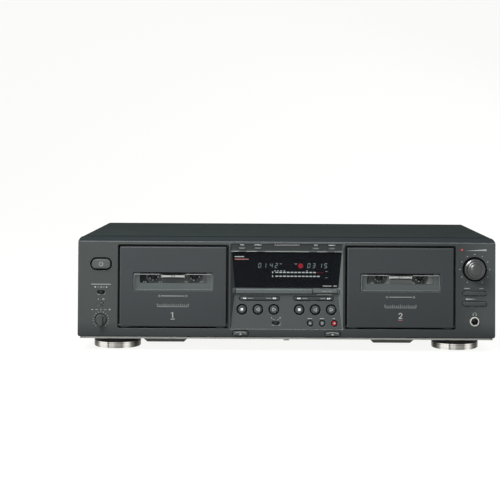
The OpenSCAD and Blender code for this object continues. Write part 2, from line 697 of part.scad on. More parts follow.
module circuit_boards() color("darkgreen") at_front() {
    // Board behind the left controls, with the pitch potentiometer and three switches
    side_board(left_x, pitch_z - 11, power_z + 15);
    switch_block(left_x, power_z, side_board_y, 10);
    switch_block(left_x, timer_z, side_board_y, 12);
    switch_block(left_x, pitch_key_z, side_board_y, 6);
    at(left_x, pitch_z) bar_y(pitch_r, side_board_y - pot_d, side_board_y + 0.2);
    // Board behind the right controls, with the level potentiometer
    side_board(right_x, long_z[1] - 9, level_z + 19);
    for (z = long_z) switch_block(right_x, z, side_board_y, 6);
    at(right_x, level_z) bar_y(8, side_board_y - pot_d, side_board_y + 0.2);
    // Board behind the centre section
    block(1 - control_w / 2, control_w / 2 - 1, front_board_y, front_board_y + board_t,
        ctl_z0 + 2, ctl_z1 - 0.5);
    for (side = [-1, 1]) {
        for (i = [0:2]) switch_block(side * transport_place(i), transport_z - 1, front_board_y, 6);
        for (end = [-1, 1])
            switch_block(side * rocker_x + end * rocker_stem_x, rocker_z - 1, front_board_y, 6);
    }
    for (x = small_x) switch_block(x, small_z - 1, front_board_y, 6);
    // Main board with its capacitors, heat sink and chips
    board_z = floor_z + board_lift;
    block(board_x[0], board_x[1], board_y[0], board_y[1], board_z, board_z + board_t);
    for (i = [0:4]) translate([board_x[0] + 20 + i * cap_pitch, board_y[1] - 22, board_z])
        bar_z(cap_r, 0, cap_h);
    for (i = [0:5]) translate([board_x[0] + 60 + i * chip_pitch, board_y[0] + 40, board_z])
        block(-9, 9, -5, 5, 0, 5);
    translate([board_x[0] + 14, board_y[0] + 40, board_z]) {
        for (i = [0:5]) block(-2, 14, i * fin_pitch, i * fin_pitch + fin_t, 0, sink_h);
        block(-4, -1.8, 0, 5 * fin_pitch + fin_t, 0, sink_h);
    }
}

// Tape mechanisms
module frame_walls() difference() {
    block(-frame_w / 2, frame_w / 2, panel_t, plate_y1, frame_z0, frame_z1);
    block(-frame_in_w / 2, frame_in_w / 2, panel_t - thin, back_y,
        frame_z0 + frame_wall, frame_z1 - frame_wall);
    translate([0, hinge_y, hinge_z]) bar_x(hinge_r + run_clear, -frame_w, frame_w);
    for (side = [-1, 1]) {
        at(side * hub_pitch / 2, hub_z) bar_y(shaft_r + run_clear, back_y - thin, plate_y1 + thin);
        at(side * capstan_pitch / 2, capstan_z) bar_y(capstan_r + run_clear, back_y - thin, plate_y1 + thin);
    }
}
module motor_posts(r, y0, y1) at(motor_x, motor_z) for (a = [90, 210, 330])
    at(post_ring * cos(a), post_ring * sin(a)) bar_y(r, y0, y1);
module bearing_bracket() {
    post_x = capstan_pitch / 2 + flywheel_r + seat + belt_t + post_r + 1.2;
    difference() {
        at(0, capstan_z) along_y(bracket_y, bracket_y + bracket_t) rounded(2 * post_x + 7, 14, 3);
        for (side = [-1, 1]) at(side * capstan_pitch / 2, capstan_z)
            bar_y(capstan_r + run_clear, bracket_y - thin, bracket_y + bracket_t + thin);
    }
    for (side = [-1, 1]) at(side * post_x, capstan_z) bar_y(post_r, plate_y1 - 0.2, bracket_y + 0.2);
}
module mechanism_frames() color("black") at_front() on_both_sides() {
    frame_walls();
    bearing_bracket();
    motor_posts(post_r, plate_y1 - 0.2, motor_y);
}
module capstan_motors() color("silver") at_front() on_both_sides() at(motor_x, motor_z)
    turned_y([[0, flywheel_y0], [pulley_r + 1, flywheel_y0],
        [pulley_r + 1, flywheel_y0 + 1], [pulley_r, flywheel_y0 + 1],
        [pulley_r, flywheel_y1 - 1], [pulley_r + 1, flywheel_y1 - 1], [pulley_r + 1, flywheel_y1],
        [capstan_r, flywheel_y1], [capstan_r, motor_y], [motor_r, motor_y],
        [motor_r, motor_y + motor_l - 2],
        [motor_r - 2, motor_y + motor_l], [0, motor_y + motor_l]]);

// One belt wraps the left flywheel and the pulley, and drives the right flywheel with its back,
// so the capstans turn opposite ways. A positive radius is passed anticlockwise, a negative one
// clockwise.
left_hub = [-capstan_pitch / 2, capstan_z];
right_hub = [capstan_pitch / 2, capstan_z];
pulley_hub = [motor_x, motor_z];
function heading(c1, r1, c2, r2) =
    atan2(c2[1] - c1[1], c2[0] - c1[0]) - asin((r2 - r1) / norm(c2 - c1));
function turn_up(a, from) = a < from ? turn_up(a + 360, from) : a;
function belt_loop(r_left, r_right, r_pulley) =
    let(to_right = heading(left_hub, r_left, right_hub, -r_right),
        to_pulley = heading(right_hub, -r_right, pulley_hub, r_pulley),
        to_left = heading(pulley_hub, r_pulley, left_hub, r_left))
    concat(
        arc(left_hub[0], left_hub[1], r_left, to_left - 90,
            turn_up(to_right - 90, to_left - 90), 20),
        arc(right_hub[0], right_hub[1], r_right, turn_up(to_right + 90, to_pulley + 90),
            to_pulley + 90, 8),
        arc(pulley_hub[0], pulley_hub[1], r_pulley, to_pulley - 90,
            turn_up(to_left - 90, to_pulley - 90), 12));
module drive_belts() color("black") at_front() on_both_sides() difference() {
    run_r = flywheel_r + seat;
    along_y(flywheel_y0 + 2, flywheel_y1 - 2)
        polygon(belt_loop(run_r + belt_t, run_r, pulley_r + seat + belt_t));
    along_y(flywheel_y0, flywheel_y1) polygon(belt_loop(run_r, run_r + belt_t, pulley_r + seat));
}
module reel_spindle(side, end) color("white") at_deck(side) at(end * hub_pitch / 2, hub_z) {
    turned_y([[0, spindle_y0], [spindle_r - 1.6, spindle_y0], [spindle_r, spindle_y0 + 2.4],
        [spindle_r, back_y - seat - 1.4], [reel_r, back_y - seat - 1.4], [reel_r, back_y - seat],
        [shaft_r, back_y - seat], [shaft_r, plate_y1 + seat],
        [shaft_r + 1.4, plate_y1 + seat], [shaft_r + 1.4, plate_y1 + 1.6], [0, plate_y1 + 1.6]]);
    for (a = [30, 150, 270]) rotate([0, a, 0])
        block(-0.7, 0.7, spindle_y0 + 1.6, back_y - seat - 1.2, 0, spindle_r + 1.4);
}
module capstan(side, end) color("silver") at_deck(side) at(end * capstan_pitch / 2, capstan_z)
    turned_y([[0, spindle_y0 + 0.3], [capstan_r, spindle_y0 + 0.3], [capstan_r, flywheel_y0 - 1],
        [capstan_r + 3, flywheel_y0 - 1], [capstan_r + 3, flywheel_y0], [flywheel_r, flywheel_y0],
        [flywheel_r, flywheel_y1], [flywheel_r - 3, flywheel_y1], [flywheel_r - 4, flywheel_y1 - 2],
        [capstan_r + 4, flywheel_y1 - 2], [capstan_r + 3, flywheel_y1],
        [capstan_r, flywheel_y1], [capstan_r, bracket_y + bracket_t], [0, bracket_y + bracket_t]]);
module head_carriage(side) color("gray") at_deck(side) {
    slide_y0 = back_y - seat - 1.5;
    slide_y1 = back_y - seat;
    arm_w = 8;
    pin_r = 1.5;
    head_w = 13;
    guide_x = 11;
    roller_y0 = slot_y0 + 5.5;
    roller_y1 = roller_y0 + 6.5;
    // Sliding plate, with the head on its bracket and two tape guides
    at(0, roller_z - 5)
        block(-capstan_pitch / 2 - 7, capstan_pitch / 2 + 7, slide_y0, slide_y1, -5, 7);
    block(-9, 9, slot_y0 + 3, slide_y0 + 0.2, roller_z - 6, roller_z - 3);
    difference() {
        at(0, roller_z - 3.2) along_y(slot_y0 + 4, slide_y0 - 0.6)
            polygon(concat([[-head_w / 2, 0], [head_w / 2, 0]], arc(0, -3, 12, 60, 120, 6)));
        block(-0.4, 0.4, 0, slide_y0, roller_z + 4, top_z);
    }
    for (end = [-1, 1]) at(end * guide_x, roller_z) block(-1, 1, slot_y0 + 4, slide_y0 + 0.2, -8, 4.6);
    // Pinch rollers on their arms
    for (end = [-1, 1]) at(end * capstan_pitch / 2, roller_z) {
        block(-arm_w / 2, arm_w / 2, roller_y1 + seat, slide_y0 + 0.2, -5, 3);
        bar_y(pin_r, roller_y0 - 1, slide_y0);
        difference() {
            bar_y(roller_r, roller_y0, roller_y1);
            bar_y(pin_r + run_clear, roller_y0 - thin, roller_y1 + thin);
        }
    }
}

// Doors, their windows and the cassette holders behind them
module door(side) color("dimgray") at_deck(side) at(0, (door_z0 + door_z1) / 2) difference() {
    bevelled(door_w, door_h, -door_proud, panel_t, door_bevel) rounded(door_w, door_h, 1.2);
    at(0, window_rise) along_y(-door_proud - thin, panel_t + thin) rounded(window_w, window_h, 1);
}
module door_window(side) color([0.3, 0.32, 0.33, 0.5]) at_deck(side) at(0, window_z) {
    pane_w = window_w - 0.4;
    pane_h = window_h - 0.4;
    bevelled(pane_w, pane_h, window_sink - door_proud, panel_t, 0.6) rounded(pane_w, pane_h, 0.9);
}
module cassette_holder(side) color("gray") at_deck(side) {
    foot_z = hinge_z - 2;
    difference() {
        block(-holder_w / 2, holder_w / 2, panel_t, slot_y0, foot_z, rail_top);
        at(0, sight_z) along_y(panel_t - thin, slot_y0 + thin) rounded(sight_w, sight_h, 1);
        at(0, foot_z) along_y(panel_t - thin, slot_y0 + thin)
            rounded(holder_w - 2 * ledge_w, 2 * (cassette_rise - 6), 3);
    }
    for (end = [-1, 1]) scale([end, 1, 1]) {
        along_x(slot_w / 2, holder_w / 2)
            polygon([[panel_t, foot_z], [hinge_y + 2.4, foot_z], [hinge_y + 2.4, hinge_z + 4],
                [lip_y1, cassette_z0 - 4], [lip_y1, rail_top - 6], [slot_y0 + 2, rail_top],
                [panel_t, rail_top]]);
        block(slot_w / 2 - lip_w, slot_w / 2 + 0.2, slot_y1, lip_y1, cassette_z0, rail_top - 8);
        block(slot_w / 2 - ledge_w, slot_w / 2 + 0.2, slot_y0 - 0.2, lip_y1,
            cassette_z0 - ledge_t, cassette_z0);
        translate([0, hinge_y, hinge_z]) bar_x(hinge_r, holder_w / 2 - 0.2, frame_w / 2);
    }
}

// Sockets
module phone_jack() color("silver") at_front() at(right_x, phones_z) difference() {
    union() {
        turned_y([[0, -0.9], [phones_r + 1.4, -0.9], [phones_r + 1.65, -0.6], [phones_r + 1.65, 0],
            [phones_r + 1.1, 0], [phones_r + 1.1, panel_t + 1], [0, panel_t + 1]]);
        along_y(panel_t, panel_t + phones_body[2]) rounded(phones_body[0], phones_body[1], 1);
    }
    bar_y(phones_r, -2, panel_t + phones_depth);
}
module line_jacks() color("black") at_front() {
    jack_middle() difference() {
        along_y(rear_y - jack_block_d, rear_y) rounded(2 * jack_pitch + 4, 2 * jack_pitch + 2, 1.5);
        bar_y(screw_r + seat, rear_y - jack_screw_in - seat, rear_y + thin);
    }
    for (x = [0, 1], z = [0, 1]) at(jack_x + x * jack_pitch, jack_z + z * jack_pitch) difference() {
        union() {
            bar_y(jack_r + 1.2, rear_y - 0.2, body_d + 0.8);
            bar_y(jack_r, rear_y, body_d + jack_proud);
        }
        bar_y(1.65, body_d - 3, body_d + jack_proud + thin);
        difference() {
            bar_y(jack_r - 0.6, body_d + jack_proud - 1, body_d + jack_proud + thin);
            bar_y(2.4, body_d, body_d + jack_proud + 2 * thin);
        }
    }
}
module power_inlet() color("black") at_front() at(inlet_x, inlet_z) {
    difference() {
        union() {
            along_y(body_d, body_d + 1.6) rounded(inlet_w + 6, inlet_h + 4, 3);
            along_y(rear_y - 16, body_d + 0.2) rounded(inlet_w, inlet_h, 1.4);
        }
        for (side = [-1, 1]) at(side * 4.2, 0) bar_y(4.3, rear_y - inlet_depth, body_d + 3);
        block(-4.2, 4.2, rear_y - inlet_depth, body_d + 3, -3, 3);
    }
    for (side = [-1, 1]) at(side * inlet_pin_x, 0) bar_y(1.15, rear_y - inlet_depth - 0.2, rear_y - 1);
}

// Cover screws, transformer screws, the jack block's screw and the chassis screw under the front edge
module screws() color("silver") at_front() {
    for (side = [-1, 1], s = cover_screws) translate([0, s[0], s[1]]) scale([side, 1, 1]) {
        bar_x(4, cover_x, cover_x + screw_head_h);
        bar_x(screw_r, chassis_x - 4, cover_x + 0.1);
    }
    jack_middle() {
        bar_y(3, body_d, body_d + screw_head_h);
        bar_y(screw_r, rear_y - jack_screw_in, body_d + 0.1);
    }
    for (side = [-1, 1]) translate([core_x + side * (core_w + lug_w) / 2, core_y, floor_z]) {
        bar_z(4, lug_t, lug_t + 2.3);
        bar_z(2, 0, lug_t + 0.1);
    }
    translate([0, 12, 0]) bar_z(3, foot_h - 2.2, foot_h);
}

// Knobs
module level_knob() color("dimgray") at_front() at(right_x, level_z) difference() {
    turned_y([[0, 0.6 - level_proud], [level_r - 4.4, 0.6 - level_proud], [level_r - 3.9, -level_proud],
        [level_r - 2.9, -level_proud], [level_r - 1.9, 1 - level_proud], [level_r - 1.3, -4.4],
        [level_r, -3], [level_r, 1], [level_shaft_r, 1],
        [level_shaft_r, side_board_y - pot_d - seat], [0, side_board_y - pot_d - seat]]);
    block(-0.6, 0.6, -level_proud - thin, -level_proud + 1.6, level_r - 6.5, level_r);
}
module pitch_knob() color("dimgray") at_front() at(left_x, pitch_z) {
    turned_y([[0, -1.6], [pitch_r - 0.6, -1.6], [pitch_r, -1], [pitch_r, 0.7], [pitch_shaft_r, 0.7],
        [pitch_shaft_r, side_board_y - pot_d - seat], [0, side_board_y - pot_d - seat]]);
    intersection() {
        block(-1.9, 1.9, -6, -1, -pitch_r, pitch_r);
        bar_y(pitch_r, -6, 0);
    }
}

// Keys of the face and of the centre section
side_stem = side_board_y - switch_h - seat;
function slope_stem(z) =
    (front_board_y - switch_h - key_travel - 2 * seat - slope_depth(z)) / cos(key_slope);
module transport_key(side, i) color("silver") at_front() on_slope(side * transport_place(i), transport_z)
    round_key(transport_r, plate_t, key_proud, slope_stem(transport_z));
module small_key(i, paint) color(paint) at_front() on_slope(small_x[i], small_z)
    round_key(small_r, plate_t, key_proud, slope_stem(small_z));
module winding_rocker(side) color("silver") at_front() on_slope(side * rocker_x, rocker_z) {
    bevelled(rocker_w, rocker_h, -key_proud, plate_t, 0.5) pill(rocker_w, rocker_h);
    // Pivot, its neck, and a stem to the switch under each end
    block(-3, 3, plate_t - 0.2, pivot_y + pivot_r - 0.2, -1.4, 1.4);
    translate([0, pivot_y, 0]) bar_z(pivot_r, -rocker_h / 2 - 1.5, rocker_h / 2 + 1.5);
    for (end = [-1, 1]) translate([end * rocker_stem_x, 0, 0])
        bar_y(stem_r, plate_t - 0.2, slope_stem(rocker_z));
}
module eject_key(side) color("dimgray") at_front() at(side * eject_x, eject_z) {
    bevelled(eject_w, eject_h, -0.8, panel_t - eject_travel - seat, 0.5) rounded(eject_w, eject_h, 1.5);
    block(-5, 5, panel_t - eject_travel - seat - 0.2, panel_t + seat + 0.2, -0.9, 1.7);
    block(-8.6, 8.6, panel_t + seat, panel_t + seat + 1.4, -0.9, 3.4);
}
module long_key(i) color("dimgray") at_front() at(right_x, long_z[i])
    pill_key(long_w, long_h, panel_t, key_proud, side_stem - key_travel);
module counter_key(i) color("dimgray") at_front() at(counter_x[i], counter_z) translate([0, strip_sink, 0])
    pill_key(counter_w, counter_h, plate_t, 0.7, front_board_y - strip_sink - key_travel - seat, 0.3);

module power_key() color("dimgray") at_front() at(left_x, power_z)
    pill_key(power_w, power_h, panel_t, 1.8, side_stem - power_travel, 0.9);
module timer_switch() color("gray") at_front() at(left_x, timer_z) slide(panel_t, 1);
module pitch_key() color("dimgray") at_front() at(left_x, pitch_key_z)
    pill_key(pitch_key_w, pitch_key_h, panel_t, 0.8, side_stem - key_travel, 0.4);
module dubbing_switch() color("gray") at_front() on_slope(dubbing_x, small_z) slide(plate_t, 0.9);

front_panel();
control_panel();
display_window();
display_tube();
top_cover();
bottom_chassis();
rear_panel();
front_feet();
rear_feet();
power_transformer();
circuit_boards();
mechanism_frames();
capstan_motors();
drive_belts();
phone_jack();
line_jacks();
power_inlet();
screws();
door(-1);  // door_a
door(1);  // door_b
door_window(-1);  // door_window_a
door_window(1);  // door_window_b
cassette_holder(-1);  // cassette_holder_a
cassette_holder(1);  // cassette_holder_b
reel_spindle(-1, -1);  // reel_spindle_a_left
reel_spindle(-1, 1);  // reel_spindle_a_right
reel_spindle(1, -1);  // reel_spindle_b_left
reel_spindle(1, 1);  // reel_spindle_b_right
capstan(-1, -1);  // capstan_a_left
capstan(-1, 1);  // capstan_a_right
capstan(1, -1);  // capstan_b_left
capstan(1, 1);  // capstan_b_right
head_carriage(-1);  // head_carriage_a
head_carriage(1);  // head_carriage_b
power_key();
timer_switch();
pitch_key();
pitch_knob();
level_knob();
long_key(0);  // auto_level_key
long_key(1);  // fade_key
transport_key(-1, 2);  // stop_key_a
transport_key(-1, 1);  // reverse_key_a
transport_key(-1, 0);  // play_key_a
transport_key(1, 0);  // stop_key_b
transport_key(1, 1);  // reverse_key_b
transport_key(1, 2);  // play_key_b
winding_rocker(-1);  // winding_rocker_a
winding_rocker(1);  // winding_rocker_b
small_key(0, "silver");  // pause_key
small_key(1, "silver");  // mute_key
small_key(2, "firebrick");  // record_key
dubbing_switch();
eject_key(-1);  // eject_key_a
eject_key(1);  // eject_key_b
counter_key(0);  // counter_key_1
counter_key(1);  // counter_key_2
counter_key(2);  // counter_key_3
counter_key(3);  // counter_key_4
display_key();
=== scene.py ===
# %% [markdown]
# A double cassette deck, dressed for its picture.
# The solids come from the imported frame: cabinet, doors, keys, knobs and the tape mechanisms behind
# the doors. This lesson gives them their finishes, prints their symbols, lights the display and
# adds the few pieces that need a finer surface than a solid has, such as the fluted knob.

# %% Load the frame
import json
import math

import bmesh
import bpy
import numpy as np
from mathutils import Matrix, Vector


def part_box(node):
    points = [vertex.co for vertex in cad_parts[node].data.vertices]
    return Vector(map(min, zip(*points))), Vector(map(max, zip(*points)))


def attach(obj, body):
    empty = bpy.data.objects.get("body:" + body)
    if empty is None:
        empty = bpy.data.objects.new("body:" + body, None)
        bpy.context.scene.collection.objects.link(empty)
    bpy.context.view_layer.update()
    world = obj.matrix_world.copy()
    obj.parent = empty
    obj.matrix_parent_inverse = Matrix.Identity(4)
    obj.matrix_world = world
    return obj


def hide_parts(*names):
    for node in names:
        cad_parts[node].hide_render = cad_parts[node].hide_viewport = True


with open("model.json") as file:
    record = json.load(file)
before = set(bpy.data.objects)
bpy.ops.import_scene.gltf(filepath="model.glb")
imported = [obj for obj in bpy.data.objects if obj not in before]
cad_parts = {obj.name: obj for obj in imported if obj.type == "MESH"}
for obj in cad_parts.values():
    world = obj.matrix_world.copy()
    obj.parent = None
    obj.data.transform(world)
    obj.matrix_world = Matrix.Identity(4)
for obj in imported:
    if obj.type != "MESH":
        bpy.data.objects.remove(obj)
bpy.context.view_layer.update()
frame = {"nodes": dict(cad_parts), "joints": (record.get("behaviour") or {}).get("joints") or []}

MM = 0.001
nodes = frame["nodes"]
travel_axis = {j["child"]: np.array(j["axis"], float) for j in frame["joints"]}

# %% [markdown]
# Everything below is placed from the frame. A node's box gives its middle. A key's front is found
# as the points that lie furthest against its travel, which also works for keys on the slope.
# The alternative, typing each place again, would drift from the solids when a size changes.

# %% Places read from the frame
FLUSH = 0.05


def span(node):
    """Lowest and highest corner of a node, in millimetres."""
    low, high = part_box(node)
    return np.array(low) / MM, np.array(high) / MM


def middle(node):
    """Middle of a node's box, in millimetres."""
    low, high = span(node)
    return (low + high) / 2


def points_of(node):
    """All vertices of a node's mesh as one array, in millimetres."""
    mesh = nodes[node].data
    flat = np.empty(len(mesh.vertices) * 3)
    mesh.vertices.foreach_get("co", flat)
    return flat.reshape(-1, 3) / MM


def front_of(node, axis):
    """Middle of the flat front of a key: the points with the least reach along its travel."""
    points = points_of(node)
    reach = points @ axis
    front = points[reach < reach.min() + FLUSH]
    return (front.min(0) + front.max(0)) / 2


FACE_Y = span("front_panel")[0][1]
DOOR_X = middle("door_b")[0]
PUSH = np.array([0.0, 1.0, 0.0])
SLOPE_PUSH = travel_axis["play_key_a"]
SIDES = np.array([-1, 1])
DECKS = (("a", -1), ("b", 1))
DECK_ENDS = [(deck, end) for deck in "ab" for end in ("left", "right")]
print("face at", round(FACE_Y, 2), "doors at", round(DOOR_X, 2))

# %% [markdown]
# The picture was taken from a little above with a long lens, and its upright edges stay parallel.
# A view camera does that: it looks almost straight at the face, and the lens is shifted down and to
# the left instead. Aiming the camera down would make the sides lean towards each other.

# %% Camera
CAMERA_X, CAMERA_Z, CAMERA_BACK = -11.5, 219.15, 1579.1
LENS_MM, SENSOR_MM, SHIFT_X, SHIFT_Y = 110.2, 36, -0.0621, -0.2735
AIM_DOWN, AIM_LEFT, ROLL = -0.95, -0.173, -0.326

camera_data = bpy.data.cameras.new("camera")
camera_data.lens = LENS_MM
camera_data.sensor_width = SENSOR_MM
camera_data.shift_x = SHIFT_X
camera_data.shift_y = SHIFT_Y
camera_data.clip_start = 0.05
camera = bpy.data.objects.new("camera", camera_data)
bpy.context.scene.collection.objects.link(camera)
camera.location = (CAMERA_X * MM, (FACE_Y - CAMERA_BACK) * MM, CAMERA_Z * MM)
camera.rotation_euler = (math.radians(90 - AIM_DOWN), math.radians(ROLL), math.radians(AIM_LEFT))
bpy.context.scene.camera = camera
bpy.context.scene.view_settings.view_transform = "Standard"
print("camera at", [round(v, 3) for v in camera.location])

# %% [markdown]
# A mesh is made from whole arrays: a grid of points, and faces that join neighbours on it. One
# helper turns such arrays into an object at the origin, with its place in the mesh, and lets it
# ride on a body. Normals are recalculated because a closed shell then faces outwards for sure.

# %% From arrays to a piece
def piece(name, points, faces, materials, body=None, face_material=None, sharp=32):
    """Makes an object of points in millimetres. Edges sharper than the angle stay crisp."""
    mesh = bpy.data.meshes.new(name)
    mesh.from_pydata((np.asarray(points) * MM).tolist(), [], faces)
    for material in materials:
        mesh.materials.append(material)
    if face_material is not None:
        mesh.polygons.foreach_set("material_index", np.asarray(face_material, np.int32))
    shell = bmesh.new()
    shell.from_mesh(mesh)
    bmesh.ops.recalc_face_normals(shell, faces=shell.faces)
    shell.to_mesh(mesh)
    shell.free()
    mesh.polygons.foreach_set("use_smooth", np.ones(len(mesh.polygons), bool))
    mesh.set_sharp_from_angle(angle=math.radians(sharp))
    thing = bpy.data.objects.new(name, mesh)
    bpy.context.scene.collection.objects.link(thing)
    if body:
        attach(thing, body)
    return thing


def grid_faces(rows, columns, wrap=True):
    """Quads between neighbours of a grid of points, which may wrap round its columns."""
    i, j = np.meshgrid(np.arange(rows - 1), np.arange(columns if wrap else columns - 1), indexing="ij")
    right = (j + 1) % columns
    quads = [i * columns + j, i * columns + right, (i + 1) * columns + right, (i + 1) * columns + j]
    return np.stack(quads, -1).reshape(-1, 4).tolist()


# %% [markdown]
# Materials are graphs of nodes. An input of a node holds a value of its own or takes a link from
# another node's socket. One helper does either, so each graph below reads like a list of inputs.

# %% Nodes and their inputs
def feed(tree, node, inputs):
    """Gives each named or numbered input its value, or a link where the value is a socket."""
    for name, value in inputs.items():
        if isinstance(value, bpy.types.NodeSocket):
            tree.links.new(value, node.inputs[name])
        else:
            node.inputs[name].default_value = value


def add_node(tree, kind, inputs=None, **settings):
    """Adds a shader node with its settings and feeds its inputs. Its outputs are returned."""
    node = tree.nodes.new("ShaderNode" + kind)
    for name, value in settings.items():
        setattr(node, name, value)
    feed(tree, node, inputs or {})
    return node.outputs


def math_node(tree, operation, *values):
    """A math node whose inputs are numbers or sockets."""
    return add_node(tree, "Math", dict(enumerate(values)), operation=operation)[0]


def scaled_colour(tree, colour, factor):
    """A colour socket times a value socket."""
    return add_node(tree, "VectorMath", {0: colour, "Scale": factor}, operation="SCALE")[0]


def new_material(name):
    """A material with its graph and its Principled surface."""
    material = bpy.data.materials.new(name)
    material.use_nodes = True
    return material, material.node_tree, material.node_tree.nodes["Principled BSDF"]


# %% [markdown]
# The stage is one sheet: a floor that bends up into a backdrop, so no horizon shows. It is pale,
# and it adds its own brightness for rays from the camera and for mirror rays, so the picture's
# ground is white while the shadow of the deck still falls on it.

# %% Stage
STAGE_GLOW = 0.905


def seen_share(tree):
    """A value that is 1 for rays from the camera, for reflections and for rays through glass."""
    rays = add_node(tree, "LightPath")
    direct = math_node(tree, "MAXIMUM", rays["Is Camera Ray"], rays["Is Glossy Ray"])
    return math_node(tree, "MAXIMUM", direct, rays["Is Transmission Ray"])


def stage_paper():
    """Pale paper with a glow of its own for the rays that show it."""
    material, tree, surface = new_material("stage_paper")
    glow_level = math_node(tree, "MULTIPLY", seen_share(tree), STAGE_GLOW)
    feed(tree, surface, {"Base Color": (0.14, 0.141, 0.139, 1), "Roughness": 0.9, "Specular IOR Level": 0.1,
                         "Emission Color": (1, 1, 0.98, 1), "Emission Strength": glow_level})
    return material


def stage_sheet(half_width=4000, front=-4000, turn_y=1500, bend=900, height=2600):
    """A profile carried along X: a straight floor, a quarter circle, then a straight wall."""
    angle = np.radians(np.linspace(-90, 0, 25))
    y = np.concatenate([[front], turn_y + bend * np.cos(angle), [turn_y + bend]])
    z = np.concatenate([[0], bend + bend * np.sin(angle), [height]])
    x = np.array([-half_width, half_width])
    points = np.stack(np.broadcast_arrays(x[None, :], y[:, None], z[:, None]), -1)
    return points.reshape(-1, 3), grid_faces(len(y), 2, wrap=False)


floor = piece("stage_floor", *stage_sheet(), [stage_paper()])
print("stage faces:", len(floor.data.polygons))

# %% [markdown]
# The light is soft: a pale sky all round, a large panel high in front at the left, as in a product
# studio, a weaker one straight in front that reaches into the cassette wells, and one behind, so that
# the back isn't black. The first panel hangs near, so its light fades from the upper left to the
# lower right, as it does in the picture. Their level is set so that a colour looks about as it is
# written in its material. One more panel only makes glints: it is left out of matt light.

# %% Light
SKY_LEVEL = 0.3
world = bpy.data.worlds.new("studio")
bpy.context.scene.world = world
world.use_nodes = True
sky_tree = world.node_tree
sky_range = {"Value": seen_share(sky_tree), "To Min": SKY_LEVEL, "To Max": 1.0}
sky_level = add_node(sky_tree, "MapRange", sky_range)[0]
feed(sky_tree, sky_tree.nodes["Background"], {"Color": (1, 1, 0.99, 1), "Strength": sky_level})


def panel_light(name, place, aim, size, power):
    """A square lamp at a place, turned to face a point, both in millimetres."""
    data = bpy.data.lights.new(name, "AREA")
    data.shape = "SQUARE"
    data.size = size * MM
    data.energy = power
    lamp = bpy.data.objects.new(name, data)
    bpy.context.scene.collection.objects.link(lamp)
    lamp.location = Vector(place) * MM
    lamp.rotation_euler = (Vector(aim) - Vector(place)).to_track_quat("-Z", "Y").to_euler()
    return lamp


panel_light("key_panel", (-380, -620, 850), (0, -60, 60), 600, 8.6)
panel_light("front_fill", (-350, -1700, 260), (0, -130, 60), 700, 7)
panel_light("rear_panel_light", (700, 1700, 1200), (0, 0, 60), 900, 16)
glint = panel_light("glint_panel", (-900, -1250, 1400), (100, -130, 80), 1200, 80)
glint.visible_diffuse = False

# %% [markdown]
# Moulded plastic isn't one flat colour. The tool that moulds it is spark eroded, which leaves a
# fine satin grain, and hands leave slow patches of more and less gloss. Both are noise on object
# coordinates, in one node group that every plastic shares. A second group finds edges: a rounded
# normal differs from the true one only beside an edge, and there the colour is painted a little
# paler, mostly a painted highlight where a rounded edge would catch the light, partly wear.

# %% Shared effects as node groups
PATCH_SCALE, GRAIN_SHARE, NOISE_MEAN, EDGE_GAIN = 26, 0.5, 0.75, 4.0


def group_of(name, inputs, outputs):
    """A node group with named sockets. Its graph, what it is given and what it puts out come back."""
    group = bpy.data.node_groups.new(name, "ShaderNodeTree")
    for way, sockets in (("INPUT", inputs), ("OUTPUT", outputs)):
        for socket_name, kind, default in sockets:
            made = group.interface.new_socket(socket_name, in_out=way, socket_type="NodeSocket" + kind)
            if default is not None:
                made.default_value = default
    return group, group.nodes.new("NodeGroupInput").outputs, group.nodes.new("NodeGroupOutput")


def noise(tree, coordinates, scale, detail, stretch=None):
    """A noise field on given coordinates; stretch scales each axis first."""
    if stretch is not None:
        coordinates = add_node(tree, "Mapping", {"Vector": coordinates, "Scale": stretch})["Vector"]
    return add_node(tree, "TexNoise", {"Vector": coordinates, "Scale": scale, "Detail": detail})["Fac"]


def surface_group(name, grain_stretch=None):
    """Grain and patches. Colour = base x (1 + variation x noise), roughness = rough + spread x noise."""
    inputs = [("Base", "Color", (0.1, 0.1, 0.1, 1)), ("Grain Scale", "Float", 1800),
              ("Variation", "Float", 0.15), ("Rough", "Float", 0.5), ("Spread", "Float", 0.1)]
    outputs = [("Color", "Color", None), ("Roughness", "Float", None), ("Height", "Float", None)]
    group, given, put = group_of(name, inputs, outputs)
    place = add_node(group, "TexCoord")["Object"]
    grain = noise(group, place, given["Grain Scale"], 3, grain_stretch)
    patch = noise(group, place, PATCH_SCALE, 4)
    both = math_node(group, "ADD", math_node(group, "MULTIPLY", grain, GRAIN_SHARE), patch)
    centred = math_node(group, "SUBTRACT", both, NOISE_MEAN)
    factor = math_node(group, "MULTIPLY_ADD", centred, given["Variation"], 1.0)
    roughness = math_node(group, "MULTIPLY_ADD", centred, given["Spread"], given["Rough"])
    colour = scaled_colour(group, given["Base"], factor)
    feed(group, put, {"Color": colour, "Roughness": roughness, "Height": grain})
    return group


def edge_group():
    """Edge mask = 1 - (rounded normal . true normal), scaled up; it also puts out the rounded normal."""
    group, given, put = group_of("soft_edges", [("Radius", "Float", 0.0003)],
                                 [("Mask", "Float", None), ("Normal", "Vector", None)])
    rounded = add_node(group, "Bevel", {"Radius": given["Radius"]}, samples=4)["Normal"]
    true_normal = add_node(group, "NewGeometry")["Normal"]
    dot = add_node(group, "VectorMath", {0: rounded, 1: true_normal}, operation="DOT_PRODUCT")["Value"]
    apart = math_node(group, "SUBTRACT", 1.0, dot)
    feed(group, put, {"Mask": math_node(group, "MULTIPLY", apart, EDGE_GAIN), "Normal": rounded})
    return group


SATIN_GRAIN = surface_group("satin_grain")
DRAWN_LINES = surface_group("drawn_lines", grain_stretch=(0.02, 1.0, 1.0))
SOFT_EDGES = edge_group()
print("groups:", [g.name for g in bpy.data.node_groups])
